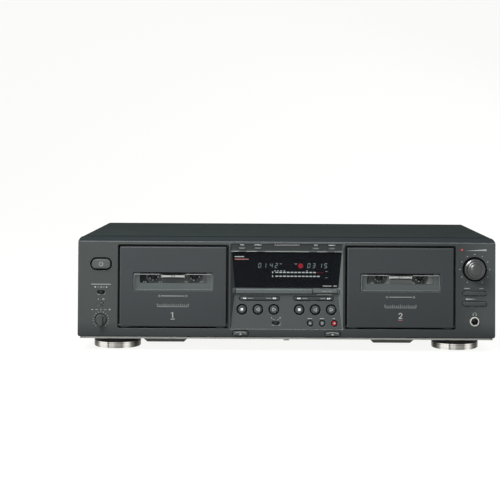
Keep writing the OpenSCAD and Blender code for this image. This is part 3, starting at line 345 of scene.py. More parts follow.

# %% [markdown]
# Colours are written as the picture shows them, in screen values from 0 to 255, and turned into
# light values here. Where one moulding has a part of another colour or of painted light or shade,
# such as the pale bar under the display, a box in object coordinates marks that zone. A soft zone
# fades over its bounds, which serves for slow changes of tone such as painted falloff of light, and
# a sharp one for painted or separate parts and for sharp bands of painted light and shade.

# %% Colours and zones
def light(red, green, blue):
    """Light values of a screen colour: the standard curve, as a linear part and a power part."""
    screen = np.array([red, green, blue]) / 255
    linear = np.where(screen <= 0.04045, screen / 12.92, ((screen + 0.055) / 1.055) ** 2.4)
    return (*linear.tolist(), 1.0)


def grey(tone):
    """The screen colour of a slightly green grey."""
    return tone, tone + 4, tone + 4


def zone(colour, x=(None, None), y=(None, None), z=(None, None), soft=0.001):
    """A screen colour and its box: low corner, high corner and softness. None leaves a side open."""
    return colour, *zip(x, y, z), soft


def zone_mask(tree, low, high, soft):
    """1 inside a box in object coordinates, else 0. Each bound is a ramp twice as wide as soft."""
    split = add_node(tree, "SeparateXYZ", {0: add_node(tree, "TexCoord")["Object"]})
    mask = None
    for bounds, way in ((low, 1), (high, -1)):
        for axis, bound in enumerate(bounds):
            if bound is not None:
                ramp = {"Value": split[axis], "From Min": (bound - way * soft) * MM,
                        "From Max": (bound + way * soft) * MM}
                inside = add_node(tree, "MapRange", ramp)["Result"]
                mask = inside if mask is None else math_node(tree, "MULTIPLY", mask, inside)
    return mask


def zoned(tree, colour, zones):
    """The light of a screen colour. It changes inside each zone; later zones lie over earlier ones."""
    colour = light(*colour)
    for zone_colour, *bounds in zones:
        inputs = {0: zone_mask(tree, *bounds), 6: colour, 7: light(*zone_colour)}
        colour = add_node(tree, "Mix", inputs, data_type="RGBA")[2]
    return colour


print("grey 80 as light:", [round(v, 3) for v in light(*grey(80))])

# %% [markdown]
# A finish is one Principled surface fed by the shared groups: its colour and gloss vary with the
# grain, its relief is the grain's height, and its edges are painted paler, mostly a painted highlight.
# Metals set Metallic on the shader, because it is the same all over.

# %% A finish
RELIEF_DEPTH, EDGE_RADIUS = 0.0001, 0.0007


def finish(name, colour, rough=0.5, variation=0.12, spread=0.12, grain=1800, bump=0.12, metal=0.0,
           edge_highlight=0.0, group=None, specular=0.16, zones=(), matt=None):
    """A surface whose colour, roughness and bump vary with its grain; its edges get a painted highlight.
    Inside the zone called matt it is as rough as can be."""
    material, tree, surface = new_material(name)
    inputs = {"Base": zoned(tree, colour, zones), "Grain Scale": grain, "Variation": variation,
              "Rough": rough, "Spread": spread}
    grained = add_node(tree, "Group", inputs, node_tree=group or SATIN_GRAIN)
    shown, roughness = grained["Color"], grained["Roughness"]
    if matt:
        roughness = math_node(tree, "MAXIMUM", roughness, zone_mask(tree, *matt[1:]))
    relief = {"Strength": bump, "Distance": RELIEF_DEPTH, "Height": grained["Height"]}
    # Painted highlight: the edge mask makes the colour paler along edges.
    if edge_highlight:
        edges = add_node(tree, "Group", {"Radius": EDGE_RADIUS}, node_tree=SOFT_EDGES)
        shown = scaled_colour(tree, shown, math_node(tree, "MULTIPLY_ADD", edges["Mask"], edge_highlight, 1.0))
        relief["Normal"] = edges["Normal"]
    feed(tree, surface, {"Base Color": shown, "Roughness": roughness, "Metallic": metal,
                         "Normal": add_node(tree, "Bump", relief)["Normal"], "Specular IOR Level": specular})
    return material


def dress(material, *names):
    """Puts a material on CAD nodes."""
    for name in names:
        nodes[name].material_slots[0].material = material
    return material


# %% [markdown]
# The front panel is moulded in charcoal, a slightly green grey. Its brow, the slope at the top, is
# painted darker and is quite matt. The small bevel under the brow has a painted highlight in its
# upper half and painted shade in its lower half, and the bevel at the foot of the face has painted
# shade. The face is painted darker to the right, where the light falls off, with a paler right
# column, and painted darker towards the foot, as painted shade. The narrow posts between the door
# gaps and the centre section carry painted shade, darker on the right, and the gaps round the doors
# are painted black, as painted shade, because no light reaches into them.

# %% Front panel
panel_points = points_of("front_panel")
PANEL_FOOT = panel_points[:, 2].min()
FACE_TOP = panel_points[panel_points[:, 1] < FACE_Y + FLUSH][:, 2].max()
EDGE_BEVEL = 0.9
BEVEL_MIDDLE, BROW_FOOT = FACE_TOP + EDGE_BEVEL / 2, FACE_TOP + EDGE_BEVEL
DOOR_LOW, DOOR_HIGH = span("door_b")
DOOR_W, GAP = DOOR_HIGH[0] - DOOR_LOW[0], 1.75
GAP_DEPTH = 0.7
BLACK = (14, 15, 15)
pillar_rise = (DOOR_LOW[2] - 1, DOOR_HIGH[2] + 1)
brow = zone((44, 51, 53), z=(BROW_FOOT, None))
panel_zones = [
    # Painted falloff of light to the right, then a paler right column
    zone((74, 78, 79), x=(100, None), soft=40),
    zone((89, 94, 94), x=(192, None), soft=14),
    # Painted shade on the posts beside the centre section, darker on the right
    zone(grey(66), x=(-62, -58), z=pillar_rise),
    zone(grey(56), x=(58, 62), z=pillar_rise),
    # Painted shade towards the foot
    zone((65, 69, 70), z=(None, 24), soft=7),
    brow,
    # Painted shade on the lower half of the bevel under the brow, a painted highlight on its upper half
    zone((30, 33, 34), z=(FACE_TOP, BEVEL_MIDDLE)),
    zone((126, 130, 132), z=(BEVEL_MIDDLE, BROW_FOOT)),
    # Painted shade on the bevel at the foot of the face
    zone((54, 57, 57), y=(None, FACE_Y + 1), z=(None, PANEL_FOOT + EDGE_BEVEL))]
# The gaps round the doors are painted black: painted shade
gap_y, gap_z = (FACE_Y + GAP_DEPTH, None), (DOOR_LOW[2] - GAP, DOOR_HIGH[2] + GAP)
for side in SIDES:
    gap_x = (side * DOOR_X - DOOR_W / 2 - GAP, side * DOOR_X + DOOR_W / 2 + GAP)
    panel_zones.append(zone(BLACK, gap_x, gap_y, gap_z))
panel_plastic = finish("panel_plastic", (83, 88, 87), edge_highlight=2.0, specular=0.05, zones=panel_zones, matt=brow)
dress(panel_plastic, "front_panel")
print("face from", PANEL_FOOT.round(1), "to", FACE_TOP.round(1), "zones:", len(panel_zones))

# %% [markdown]
# The centre section has a pale bar under the display, painted light on a ledge that faces up, and
# a dark strip over it. Its right inner wall faces the light and is painted much paler than the other
# walls, a painted highlight. Its outer rims beside the doors carry painted shade, darker on the
# right. The doors are a shade cooler than the panel, and painted a little darker towards their foot,
# as painted shade.

# %% Centre section and doors
def paint_wall_highlight(material, wall, gain):
    """Paints a highlight on the walls in a zone that face to the left: colour x (1 + gain x mask)."""
    tree = material.node_tree
    base = tree.nodes["Principled BSDF"].inputs["Base Color"]
    normal = add_node(tree, "SeparateXYZ", {0: add_node(tree, "NewGeometry")["Normal"]})
    faces_left = math_node(tree, "LESS_THAN", normal[0], -0.4)
    mask = math_node(tree, "MULTIPLY", zone_mask(tree, *wall[1:]), faces_left)
    paler = math_node(tree, "MULTIPLY_ADD", mask, gain, 1.0)
    tree.links.new(scaled_colour(tree, base.links[0].from_socket, paler), base)


BAR_X, RIM_X, WALL_X = 52.6, 57.9, 50
bar_low, bar_high = span("display_key")
PANE_TOP = span("display_window")[1][2]
rim_y, door_rise = (None, FACE_Y + 0.6), (DOOR_LOW[2], DOOR_HIGH[2])
centre_zones = [
    # Painted light: the bar under the display is a ledge that faces up
    zone((96, 103, 104), (-BAR_X, BAR_X), (None, FACE_Y + 4), (bar_low[2] - 0.3, bar_high[2] + 0.3)),
    zone((50, 54, 55), y=(FACE_Y + 0.3, None), z=(PANE_TOP + 0.5, None)),
    # Painted shade on the outer rims beside the doors, darker on the right
    zone(grey(58), (None, -RIM_X), rim_y, door_rise),
    zone(grey(44), (RIM_X, None), rim_y, door_rise)]
centre_charcoal = finish("centre_plastic", (73, 78, 78), edge_highlight=3.0, zones=centre_zones)
# Painted highlight on the right inner wall, which faces the light
lit_right_wall = zone(BLACK, (WALL_X, None), (FACE_Y + 0.1, FACE_Y + 7), (bar_low[2] - 36, None))
paint_wall_highlight(centre_charcoal, lit_right_wall, gain=1.3)
dress(centre_charcoal, "control_panel")
# Painted shade: the doors darken towards their foot
door_foot_shade = zone((58, 62, 64), z=(None, 48), soft=16)
dress(finish("door_plastic", (63, 67, 69), rough=0.45, edge_highlight=4.0, zones=[door_foot_shade]), "door_a", "door_b")
print("bar under the display from", bar_low[2].round(1), "to", bar_high[2].round(1))

# %% [markdown]
# Most small keys are moulded in the panel's charcoal. The transport keys are paler than the plate
# that they sit in, the record key is red, the slide switches are black, and the bar key under the
# display is the palest, painted light like the lit ledge that it sits in.

# %% Keys
transport_keys = [n + "_key_" + deck for n in ("stop", "reverse", "play") for deck in "ab"]
small_keys = ["pause_key", "mute_key", "record_key"]
rockers = ["winding_rocker_a", "winding_rocker_b"]
counter_keys = ["counter_key_%d" % place for place in (1, 2, 3, 4)]
KEY_FINISHES = (
    ("charcoal_plastic", (72, 77, 76), 0.5, 2.0, ["pitch_key", "auto_level_key", "fade_key", "eject_key_a",
                                                  "eject_key_b", "pitch_knob", *counter_keys]),
    ("power_plastic", (90, 96, 95), 0.45, 1.0, ["power_key"]),
    ("key_plastic", (76, 81, 82), 0.42, 1.5, [*transport_keys, "pause_key", "mute_key"]),
    ("rocker_plastic", (54, 58, 59), 0.42, 1.5, rockers),
    # Painted light: the bar key takes the pale tone of the lit ledge
    ("lit_bar_plastic", (100, 107, 108), 0.4, 0.8, ["display_key"]),
    ("record_plastic", (178, 40, 44), 0.36, 0.0, ["record_key"]),
    ("switch_plastic", (30, 32, 33), 0.5, 0.0, ["timer_switch", "dubbing_switch"]))
for name, colour, rough, edge_highlight, names in KEY_FINISHES:
    dress(finish(name, colour, rough=rough, edge_highlight=edge_highlight), *names)
print("keys dressed:", sum(len(row[-1]) for row in KEY_FINISHES))

# %% [markdown]
# The cover is steel with a dark, slightly rough coat of paint, and a band of painted shade along its
# front edge stands for the shaded fold where it meets the brow. The chassis is bare galvanised sheet
# whose cut front edge is painted much paler, a painted highlight, and the rear panel is satin
# black. Drawn steel has its grain stretched along X, which the second grain group does.

# %% Sheet metal and screws
cover_low, cover_high = span("top_cover")
# Painted shade along the cover's front edge, where it meets the brow
cover_edge_shade = zone((32, 36, 37), y=(None, cover_low[1] + 5), z=(cover_high[2] - 1.5, None), soft=0.5)
dress(finish("cover_paint", (58, 64, 64), rough=0.6, grain=900, bump=0.3, variation=0.3, specular=0.0,
             zones=[cover_edge_shade]), "top_cover")
dress(finish("rear_paint", (62, 66, 67), grain=900, bump=0.25), "rear_panel")
foot_low, foot_high = span("front_feet")
chassis_front = span("bottom_chassis")[0][1]
# Painted highlight on the chassis' cut front edge
chassis_edge_highlight = zone((202, 205, 200), y=(None, chassis_front + 0.2), z=(foot_high[2] - 0.1, None))
chassis_coat = finish("chassis_coat", (106, 109, 106), group=DRAWN_LINES, bump=0.08, zones=[chassis_edge_highlight])
dress(chassis_coat, "bottom_chassis")
dress(finish("screw_zinc", (128, 130, 128), rough=0.35, metal=1.0, bump=0.05), "screws")
print("cover over", (cover_high - cover_low).round(1), "mm")

# %% [markdown]
# Sockets are black mouldings with plated contacts. The headphone socket has a bright collar round a
# dark bore. Phono jacks carry coloured rings, white for the left channel and red for the right, and
# a pin of bare metal sticks out of each ring.

# %% Sockets
RING_BACK, RING_FRONT = -0.02, 0.82
jack_front = span("phone_jack")[0][1]
bore = zone((10, 10, 10), y=(jack_front + 0.35, None))
jack_plating = finish("jack_plating", (236, 236, 230), rough=0.25, bump=0.02, specular=0.6, zones=[bore])
dress(jack_plating, "phone_jack")
REAR_Y = span("rear_panel")[1][1]
jack_mid = middle("line_jacks")[2]
ring_y = (REAR_Y + RING_BACK, REAR_Y + RING_FRONT)
jack_zones = [zone((226, 226, 220), y=ring_y, z=(jack_mid, None)),
              zone((176, 44, 44), y=ring_y, z=(None, jack_mid)),
              zone((168, 168, 160), y=(REAR_Y + RING_FRONT, None))]
dress(finish("jack_plastic", (26, 27, 28), rough=0.35, specular=0.4, zones=jack_zones), "line_jacks")
black_plastic = dress(finish("black_plastic", (26, 27, 28), rough=0.55), "rear_feet", "power_inlet")
print("rear panel at", REAR_Y.round(2))

# %% [markdown]
# Behind the windows lie the mechanism frames. Between the hubs each well has areas of painted light
# on the plates, paler towards the right. Capstans are turned steel, and the head carriages are steel
# with black rubber rollers in front of the capstans. The rest is only seen with the cover off: a
# lacquered transformer, green boards, rubber belts and the dark glass of the display tube.

# %% Tape mechanisms and the pieces inside
ROLLER_R, ROLLER_DEPTH, WELL_LOW, WELL_HIGH = 6.2, 9.2, -11, 9
capstans = ["capstan_%s_%s" % pair for pair in DECK_ENDS]
spindles = ["reel_spindle_%s_%s" % pair for pair in DECK_ENDS]
dress(finish("bright_steel", (190, 190, 185), rough=0.3, metal=1.0, group=DRAWN_LINES, bump=0.05),
      "capstan_motors", *capstans)
# Side of the deck, left and right end from the well's middle, and tone of the painted light
WELL_LIGHT_TONES = ((-1, -17, 17, 138), (-1, 24, 37, 174), (1, -37, -24, 182), (1, -17, 17, 208), (1, 24, 37, 226))
axle_z = middle(spindles[0])[2]
# Painted light on the plates between the hubs
lit_plates = [zone((tone, tone + 5, tone + 4), (side * DOOR_X + x0, side * DOOR_X + x1),
               z=(axle_z + WELL_LOW, axle_z + WELL_HIGH)) for side, x0, x1, tone in WELL_LIGHT_TONES]
dress(finish("frame_plastic", (58, 62, 62), zones=lit_plates), "mechanism_frames")
carriage_y = span("head_carriage_a")[0][1]
rollers = [zone((30, 30, 30), (x - ROLLER_R, x + ROLLER_R), (carriage_y, carriage_y + ROLLER_DEPTH))
           for x in (middle(node)[0] for node in capstans)]
dress(finish("carriage_steel", (176, 176, 172), rough=0.35, zones=rollers, specular=0.5),
      "head_carriage_a", "head_carriage_b")
dress(finish("spindle_plastic", (34, 36, 36), rough=0.4), *spindles)
dress(finish("holder_plastic", (108, 116, 116)), "cassette_holder_a", "cassette_holder_b")
dress(finish("lacquered_iron", (120, 92, 62), rough=0.45, variation=0.3), "power_transformer")
dress(finish("green_board", (34, 84, 52), rough=0.35, variation=0.3), "circuit_boards")
dress(finish("belt_rubber", (28, 28, 28), rough=0.7), "drive_belts")
dress(finish("tube_glass", (18, 21, 24), rough=0.3, bump=0.0, specular=0.03), "display_tube")
print("materials:", len(bpy.data.materials))

# %% [markdown]
# The windows are smoked clear plastic. Real glass would bend the light, but a flat pane shifts what
# lies behind it by less than a line's width. So the pane is a dark, glossy surface that is part
# see-through: light and shadow then pass straight, and the cassette well behind keeps its detail.

# %% Smoked windows
def smoked(name, colour, alpha, rough=0.08, specular=0.12):
    """A glossy dark pane of even see-through. Fine scuffs vary its gloss."""
    material, tree, surface = new_material(name)
    inputs = {"Base": light(*colour), "Rough": rough, "Spread": 0.05, "Variation": 0.04}
    scuffed = add_node(tree, "Group", inputs, node_tree=SATIN_GRAIN)
    feed(tree, surface, {"Base Color": scuffed["Color"], "Roughness": scuffed["Roughness"], "Alpha": alpha,
                         "Specular IOR Level": specular})
    return material


door_pane = dress(smoked("door_pane", (58, 63, 64), 0.12), "door_window_a", "door_window_b")
display_pane = dress(smoked("display_pane", (28, 31, 35), 0.7, rough=0.3, specular=0.05), "display_window")
print("panes:", door_pane.name, display_pane.name)

# %% [markdown]
# A turned piece is a profile carried round an axis: each point of the profile has a radius and a
# place along the axis, and each becomes a ring. Flutes are a wave on the radius, stronger where the
# profile says so. Flat ends are closed with one face each.

# %% Turned surfaces
def turned(profile, centre, axis, sides=96, flutes=0, flute_depth=0.0, fluted=None):
    """Point = centre + h x axis + r(1 + wave) x (cos u, sin u) across it. Rows are rings of one r and h."""
    profile = np.asarray(profile, float)
    axis = np.asarray(axis, float)
    across = np.array([1.0, 0.0, 0.0])
    beside = np.cross(axis, across)
    u = np.linspace(0, 2 * math.pi, sides, endpoint=False)
    radius = np.repeat(profile[:, :1], sides, 1)
    if flutes:
        wave = flute_depth * (0.5 - 0.5 * np.cos(flutes * u))
        radius = radius - np.asarray(fluted, float)[:, None] * wave[None, :]
    ring = across * np.cos(u)[:, None] + beside * np.sin(u)[:, None]
    points = np.asarray(centre) + profile[:, 1][:, None, None] * axis + radius[..., None] * ring
    rows = len(profile)
    faces = grid_faces(rows, sides)
    faces.append(list(range(sides)))
    faces.append(list(range((rows - 1) * sides, rows * sides)))
    return points.reshape(-1, 3), faces


def arc_line(x, y, r, start, stop, steps=24):
    """Points along an arc about (x, y), between two angles in degrees."""
    u = np.radians(np.linspace(start, stop, steps))
    return np.stack([x + r * np.cos(u), y + r * np.sin(u)], -1)


# %% [markdown]
# The level knob has a smooth skirt and a fluted cap for the fingers, and a round plate in its front.
# It could be cut with flutes one by one, but one wave round the radius makes all of them at once.

# %% Level knob
FLUTES, FLUTE_DEPTH, KNOB_SIDES = 40, 0.55, 240
knob_low, knob_high = span("level_knob")
KNOB_X, KNOB_Z = middle("level_knob")[[0, 2]]
KNOB_R = (knob_high[0] - knob_low[0]) / 2
KNOB_FRONT = FACE_Y - knob_low[1]
SKIRT_H, STEP_H, CAP_TOP = 2.7, 4.3, KNOB_FRONT - 2.1
shaft = [[2.9, -11.9], [2.9, -1]]
skirt = [[KNOB_R - 0.3, -1], [KNOB_R, -0.7], [KNOB_R, SKIRT_H],
         *arc_line(KNOB_R - 0.5, SKIRT_H, 0.5, 0, 80, 5)]
cap = [[KNOB_R - 1.3, 4.2], [KNOB_R - 1.4, 4.5], [KNOB_R - 1.6, 6.0], [KNOB_R - 1.8, KNOB_FRONT - 2.6],
       *arc_line(KNOB_R - 3.4, KNOB_FRONT - 2.0, 1.6, 0, 90, 9)]
plate = [[KNOB_R - 3.9, KNOB_FRONT - 0.5], [KNOB_R - 4.1, KNOB_FRONT - 0.9],
         [KNOB_R - 4.4, KNOB_FRONT - 0.75], [KNOB_R - 5.6, KNOB_FRONT - 0.12],
         [KNOB_R - 6.0, KNOB_FRONT], [1.0, KNOB_FRONT]]
knob_profile = np.array([*shaft, *skirt, *cap, *plate])
knob_r, knob_h = knob_profile.T
knob_flutes = ((knob_h > STEP_H) & (knob_h < CAP_TOP) & (knob_r > KNOB_R - 3)).astype(float)
knob_grey = finish("knob_plastic", (50, 54, 55), rough=0.2, specular=0.7)
knob_place = (KNOB_X, FACE_Y, KNOB_Z)
knob_shape = turned(knob_profile, knob_place, -PUSH, KNOB_SIDES, FLUTES, FLUTE_DEPTH, knob_flutes)
knob = piece("fluted_level_knob", *knob_shape, [knob_grey], "level_knob", sharp=50)
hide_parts("level_knob")
print("knob faces:", len(knob.data.polygons))

# %% [markdown]
# The ring of a front foot is plated and polished along the ring, which draws its mirror image out
# into upright bands of light and dark. Here those bands are a painted reflection: a ramp of tones
# over the angle round the foot's axis, with fine noise on that angle for the streaks of the
# polishing. A plain mirror would need a whole studio round the deck to show the same bands.

# %% Plating of the feet
# Angle from the front in degrees, and the tone of the painted reflection there
PAINTED_REFLECTION_BANDS = ((-180, 150), (-150, 225), (-120, 150), (-95, 45), (-60, 45), (-48, 140), (-40, 238),
                (-22, 236), (-18, 84), (-15, 196), (-5, 184), (0, 146), (17, 132), (22, 215), (27, 240),
                (33, 226), (42, 120), (54, 50), (95, 45), (120, 150), (150, 225), (180, 150))
STREAK_SCALE = 90


def plated(centre_x, centre_y):
    """Painted reflection on bright metal: a ramp over the angle round a foot's axis, times fine noise on it.
    """
    material = finish("plated_ring", (255, 255, 255), rough=0.2, metal=1.0, bump=0.03)
    tree = material.node_tree
    grained = next(n for n in tree.nodes if n.type == "GROUP")
    place = add_node(tree, "SeparateXYZ", {0: add_node(tree, "TexCoord")["Object"]})
    x = math_node(tree, "SUBTRACT", math_node(tree, "ABSOLUTE", place[0]), centre_x * MM)
    x = math_node(tree, "MULTIPLY", x, math_node(tree, "SIGN", place[0]))
    y = math_node(tree, "SUBTRACT", centre_y * MM, place[1])
    turn = math_node(tree, "MULTIPLY_ADD", math_node(tree, "ARCTAN2", x, y), 0.5 / math.pi, 0.5)
    bands = tree.nodes.new("ShaderNodeValToRGB")
    stops = bands.color_ramp.elements
    while len(stops) < len(PAINTED_REFLECTION_BANDS):
        stops.new(0.5)
    for stop, (angle, tone) in zip(stops, PAINTED_REFLECTION_BANDS):
        stop.position, stop.color = (angle + 180) / 360, light(tone, tone - 2, tone - 7)
    feed(tree, bands, {0: turn})
    spot = add_node(tree, "CombineXYZ", {0: turn})[0]
    streaks = math_node(tree, "MULTIPLY_ADD", noise(tree, spot, STREAK_SCALE, 2), 0.5, 0.75)
    feed(tree, grained, {"Base": scaled_colour(tree, bands.outputs[0], streaks)})
    return material


FOOT_R = (foot_high[1] - foot_low[1]) / 2
FOOT_Y = foot_low[1] + FOOT_R
chrome = plated(foot_high[0] - FOOT_R, FOOT_Y)
print("bands in the plating:", len(PAINTED_REFLECTION_BANDS))

# %% [markdown]
# Each front foot is a black cap with the bright ring pressed on below it. Both come from one turned
# profile. Rows under the groove take the plating, and rows above it the black plastic.

# %% Front feet
FOOT_SIDES, FOOT_GROOVE, GROOVE_R = 128, 6.9, FOOT_R - 0.9
foot_rows = np.array([
    [1, 0.8], [FOOT_R - 5, 0.8], [FOOT_R - 5, 0.0], *arc_line(FOOT_R - 2.2, 2.2, 2.2, -90, 0, 8),
    [FOOT_R, 4.9], [FOOT_R - 0.25, 5.05], [FOOT_R, 5.2], [FOOT_R, FOOT_GROOVE - 0.5],
    *arc_line(FOOT_R - 0.4, FOOT_GROOVE - 0.5, 0.4, 0, 90, 4), [GROOVE_R, FOOT_GROOVE],
    [GROOVE_R, FOOT_GROOVE + 0.5], [FOOT_R - 0.2, FOOT_GROOVE + 0.7], [FOOT_R, FOOT_GROOVE + 1.1],
    [FOOT_R - 0.6, foot_high[2]], [1, foot_high[2]]])
row_height = (foot_rows[:-1, 1] + foot_rows[1:, 1]) / 2
face_slots = np.append(np.repeat(row_height > FOOT_GROOVE + 0.1, FOOT_SIDES), [False, True])
foot_points, foot_faces = [], []
for place, x in enumerate((foot_low[0] + FOOT_R, foot_high[0] - FOOT_R)):
    ring_points, ring_faces = turned(foot_rows, (x, FOOT_Y, 0), (0, 0, 1), FOOT_SIDES)
    foot_points.append(ring_points)
    for group in (ring_faces[:-2], ring_faces[-2:]):
        foot_faces += (np.array(group) + place * len(ring_points)).tolist()
feet = piece("plated_front_feet", np.concatenate(foot_points), foot_faces, [chrome, black_plastic], "cabinet",
             np.tile(face_slots, 2))
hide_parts("front_feet")
print("feet faces:", len(feet.data.polygons))

# %% [markdown]
# Symbols are drawn as outlines: rectangles, discs, triangles and lines of even width. A ring is
# two bent lines, because one outline can't have a hole.

# %% Outlines of marks
CORNERS = np.array([[-1, -1], [1, -1], [1, 1], [-1, 1]])


def boxes(x, y, w, h):
    """Rectangles by their middles and sizes. Each value is one number for all or one for each."""
    x, y, w, h = np.broadcast_arrays(*np.atleast_1d(x, y, w, h))
    return list(np.stack([x, y], -1)[:, None] + CORNERS * np.stack([w, h], -1)[:, None] / 2)


def dot_mark(x, y, r, sides=24):
    """A disc as points of one circle."""
    u = np.linspace(0, 2 * math.pi, sides, endpoint=False)
    return np.stack([x + r * np.cos(u), y + r * np.sin(u)], -1)


def line_mark(points, width):
    """A line of even width: each point is moved half the width to both sides, square to the line."""
    points = np.asarray(points, float)
    along = np.gradient(points, axis=0)
    along /= np.linalg.norm(along, axis=1, keepdims=True)
    aside = np.stack([-along[:, 1], along[:, 0]], -1) * width / 2
    return np.concatenate([points - aside, (points + aside)[::-1]])


def arrow_mark(x, y, size, way):
    """A filled triangle that points left or right."""
    return np.array([x, y]) + np.array([[-way, -1], [way, 0], [-way, 1]]) * size / 2


def open_arrow(x, y, size, way, width):
    """The outline of a triangle, as three lines."""
    a, b, c = arrow_mark(x, y, size, way)
    return [line_mark([p, q], width) for p, q in ((a, b), (b, c), (c, a))]


def ring_mark(x, y, r, width, start=0, stop=360):
    """A ring, or a part of one, as two arcs of even width."""
    half = (start + stop) / 2
    return [line_mark(arc_line(x, y, r, *turn), width) for turn in ((start, half), (half, stop))]


def pill_ring(x, y, w, h, width):
    """The outline of a pill, as two lines that meet at its middle."""
    right = arc_line(x + w / 2 - h / 2, y, h / 2, -90, 90)
    left = arc_line(x - w / 2 + h / 2, y, h / 2, 90, 270)
    low, high = [[x, y - h / 2]], [[x, y + h / 2]]
    halves = (low, right, high), (high, left, low)
    return [line_mark(np.concatenate(half), width) for half in halves]


# %% [markdown]
# Marks are silk-screened: a film of ink a few hundredths of a millimetre thick. Each outline lies in
# the plane of the surface that carries it and is given a front, a back and sides, so it is a closed
# thin solid. The ink is cut a little into the surface, so no gap can show under it.

# %% Printing
INK_SINK, LAYER = 0.05, 0.004


def plane_at(point, outward=(0, -1, 0), right=(1, 0, 0)):
    """A drawing plane: its x, its y and the way out make a right hand."""
    right = np.array(right, float)
    out = np.asarray(outward, float)
    return np.asarray(point, float), right, np.cross(out, right), out


def upright(y):
    """A drawing plane parallel to the face, at a depth."""
    return plane_at((0, y, 0))


def printed(name, marks, plane, ink, body="cabinet", rise=0.04):
    """Closed thin solids: each outline's points raised and sunk along the plane's outward direction.
    Neighbours in the list differ a little in height, so that marks that cross don't share a face."""
    origin, right, up, out = plane
    points, faces = [], []
    for place, mark in enumerate(marks):
        x, y = np.asarray(mark).T
        if np.sum(x * np.roll(y, -1) - np.roll(x, -1) * y) < 0:
            x, y = x[::-1], y[::-1]
        flat = origin + x[:, None] * right + y[:, None] * up
        n, start = len(flat), sum(len(p) for p in points)
        front = start + np.arange(n)
        back = front + n
        sides = np.stack([front, back, np.roll(back, -1), np.roll(front, -1)], -1)
        step = LAYER * (place % 3)
        points.append(np.concatenate([flat + (rise + step) * out, flat - (INK_SINK + step) * out]))
        faces += [front.tolist(), back[::-1].tolist(), *sides.tolist()]
    return piece(name, np.concatenate(points), faces, [ink], body, sharp=20)


def ink_of(name, colour, rough=0.6, specular=0.16):
    """An even film of matt ink."""
    return finish(name, colour, rough=rough, bump=0.0, variation=0.1, specular=specular)


# Black ink serves for print and for painted shade in grooves, gaps, seams and screw recesses.
black_shade_ink = ink_of("black_shade_ink", BLACK, rough=0.7, specular=0.05)
white_ink = ink_of("white_ink", (250, 252, 250))
pale_ink = ink_of("pale_ink", (196, 200, 196))
soft_ink = ink_of("soft_ink", (150, 155, 153))
red_ink = ink_of("red_ink", (194, 128, 124))
# Ink for painted shade at the edge of a key's dished front
dish_shade_ink = ink_of("dish_shade_ink", (56, 60, 61))
print("inks:", [m.name for m in bpy.data.materials if m.name.endswith("_ink")])

# %% [markdown]
# The left end of the face carries record, off and play signs over the timer switch, an on and off
# sign over the pitch key, and minus, plus and a ring of ticks at the pitch knob.

# %% Marks on the left of the face
FINE, THIN = 0.35, 0.4
PITCH_TURN, PITCH_TICKS, TICK_ENDS = 140, 15, (7.4, 8.5)
face_plane = upright(FACE_Y)
LEFT_X, POWER_Z = front_of("power_key", PUSH)[[0, 2]]
PITCH_Z = middle("pitch_knob")[2]
timer_row = middle("timer_switch")[2] + 5.4
key_row = middle("pitch_key")[2] + 4.6
knob_row = PITCH_Z + 10.2
left_marks = [dot_mark(LEFT_X - 6, timer_row, 0.8), arrow_mark(LEFT_X + 6, timer_row, 1.7, 1)]
left_marks += boxes(LEFT_X, timer_row + 2.9, 20, 0.55) + ring_mark(LEFT_X, timer_row, 0.75, FINE)
left_marks += [line_mark([[LEFT_X + 3.6 * s, timer_row], [LEFT_X + 2.0 * s, timer_row]], THIN)
               for s in SIDES]
left_marks += [line_mark([[LEFT_X - 2.6, key_row - 0.8], [LEFT_X - 2.6, key_row + 0.8]], THIN)]
left_marks += ring_mark(LEFT_X + 2.6, key_row, 0.75, FINE)
left_marks += boxes(LEFT_X + np.array([-9, 9, 9, 0, -4.4, 4.4]), knob_row, [2, 2, 0.45, 0.5, 2.6, 2.6],
                    [0.45, 0.45, 2, 1.6, FINE, FINE])
left_marks += [line_mark([[LEFT_X + r * math.sin(t), PITCH_Z + r * math.cos(t)] for r in TICK_ENDS], FINE)
               for t in np.radians(np.linspace(-PITCH_TURN, PITCH_TURN, PITCH_TICKS))]
printed("marks_left", left_marks, face_plane, pale_ink)
print("marks on the left:", len(left_marks))

# %% [markdown]
# The right end has a scale of dots round the level knob with a wedge over it, short lines and a
# wedge over the two long keys, and a sign of headphones over their socket. All signs are generic.

# %% Marks on the right of the face
LEVEL_TURN, LEVEL_DOTS, DOTS_R = 150, 11, 15.4
WEDGE_LOW, WEDGE_HIGH = 104.6, 106.2
PHONES_Z = middle("phone_jack")[2]
LONG_Z = [middle(n)[2] for n in ("auto_level_key", "fade_key")]
right_marks = [dot_mark(KNOB_X + DOTS_R * math.sin(t), KNOB_Z + DOTS_R * math.cos(t), 0.5)
               for t in np.radians(np.linspace(-LEVEL_TURN, LEVEL_TURN, LEVEL_DOTS))]
wedge = [[KNOB_X - 9.5, WEDGE_LOW], [KNOB_X + 12, WEDGE_LOW], [KNOB_X + 12, WEDGE_HIGH]]
right_marks += [np.array(wedge)]
right_marks += boxes(KNOB_X + np.array([-8, 7]), LONG_Z[0] + 5.2, [5.4, 4], 0.6)
right_marks += [np.array([KNOB_X, LONG_Z[1]]) + [[-9, 4.1], [2, 4.8], [-9, 5.5]]]
right_marks += ring_mark(KNOB_X, PHONES_Z + 7.4, 1.7, THIN, 0, 180)
right_marks += boxes(KNOB_X + 1.6 * SIDES, PHONES_Z + 7.0, 0.9, 1.5)
printed("marks_right", right_marks, face_plane, pale_ink)
printed("jack_shade", ring_mark(KNOB_X, PHONES_Z, 3.5, 0.5), upright(jack_front), black_shade_ink)
print("marks on the right:", len(right_marks))

# %% [markdown]
# Every control stands in a groove, and each key is outlined in black by painted shade: a matt black
# film printed like the marks, but on the floor of the groove, about a millimetre under the face. The
# eject keys have their frames of painted shade on the face itself.

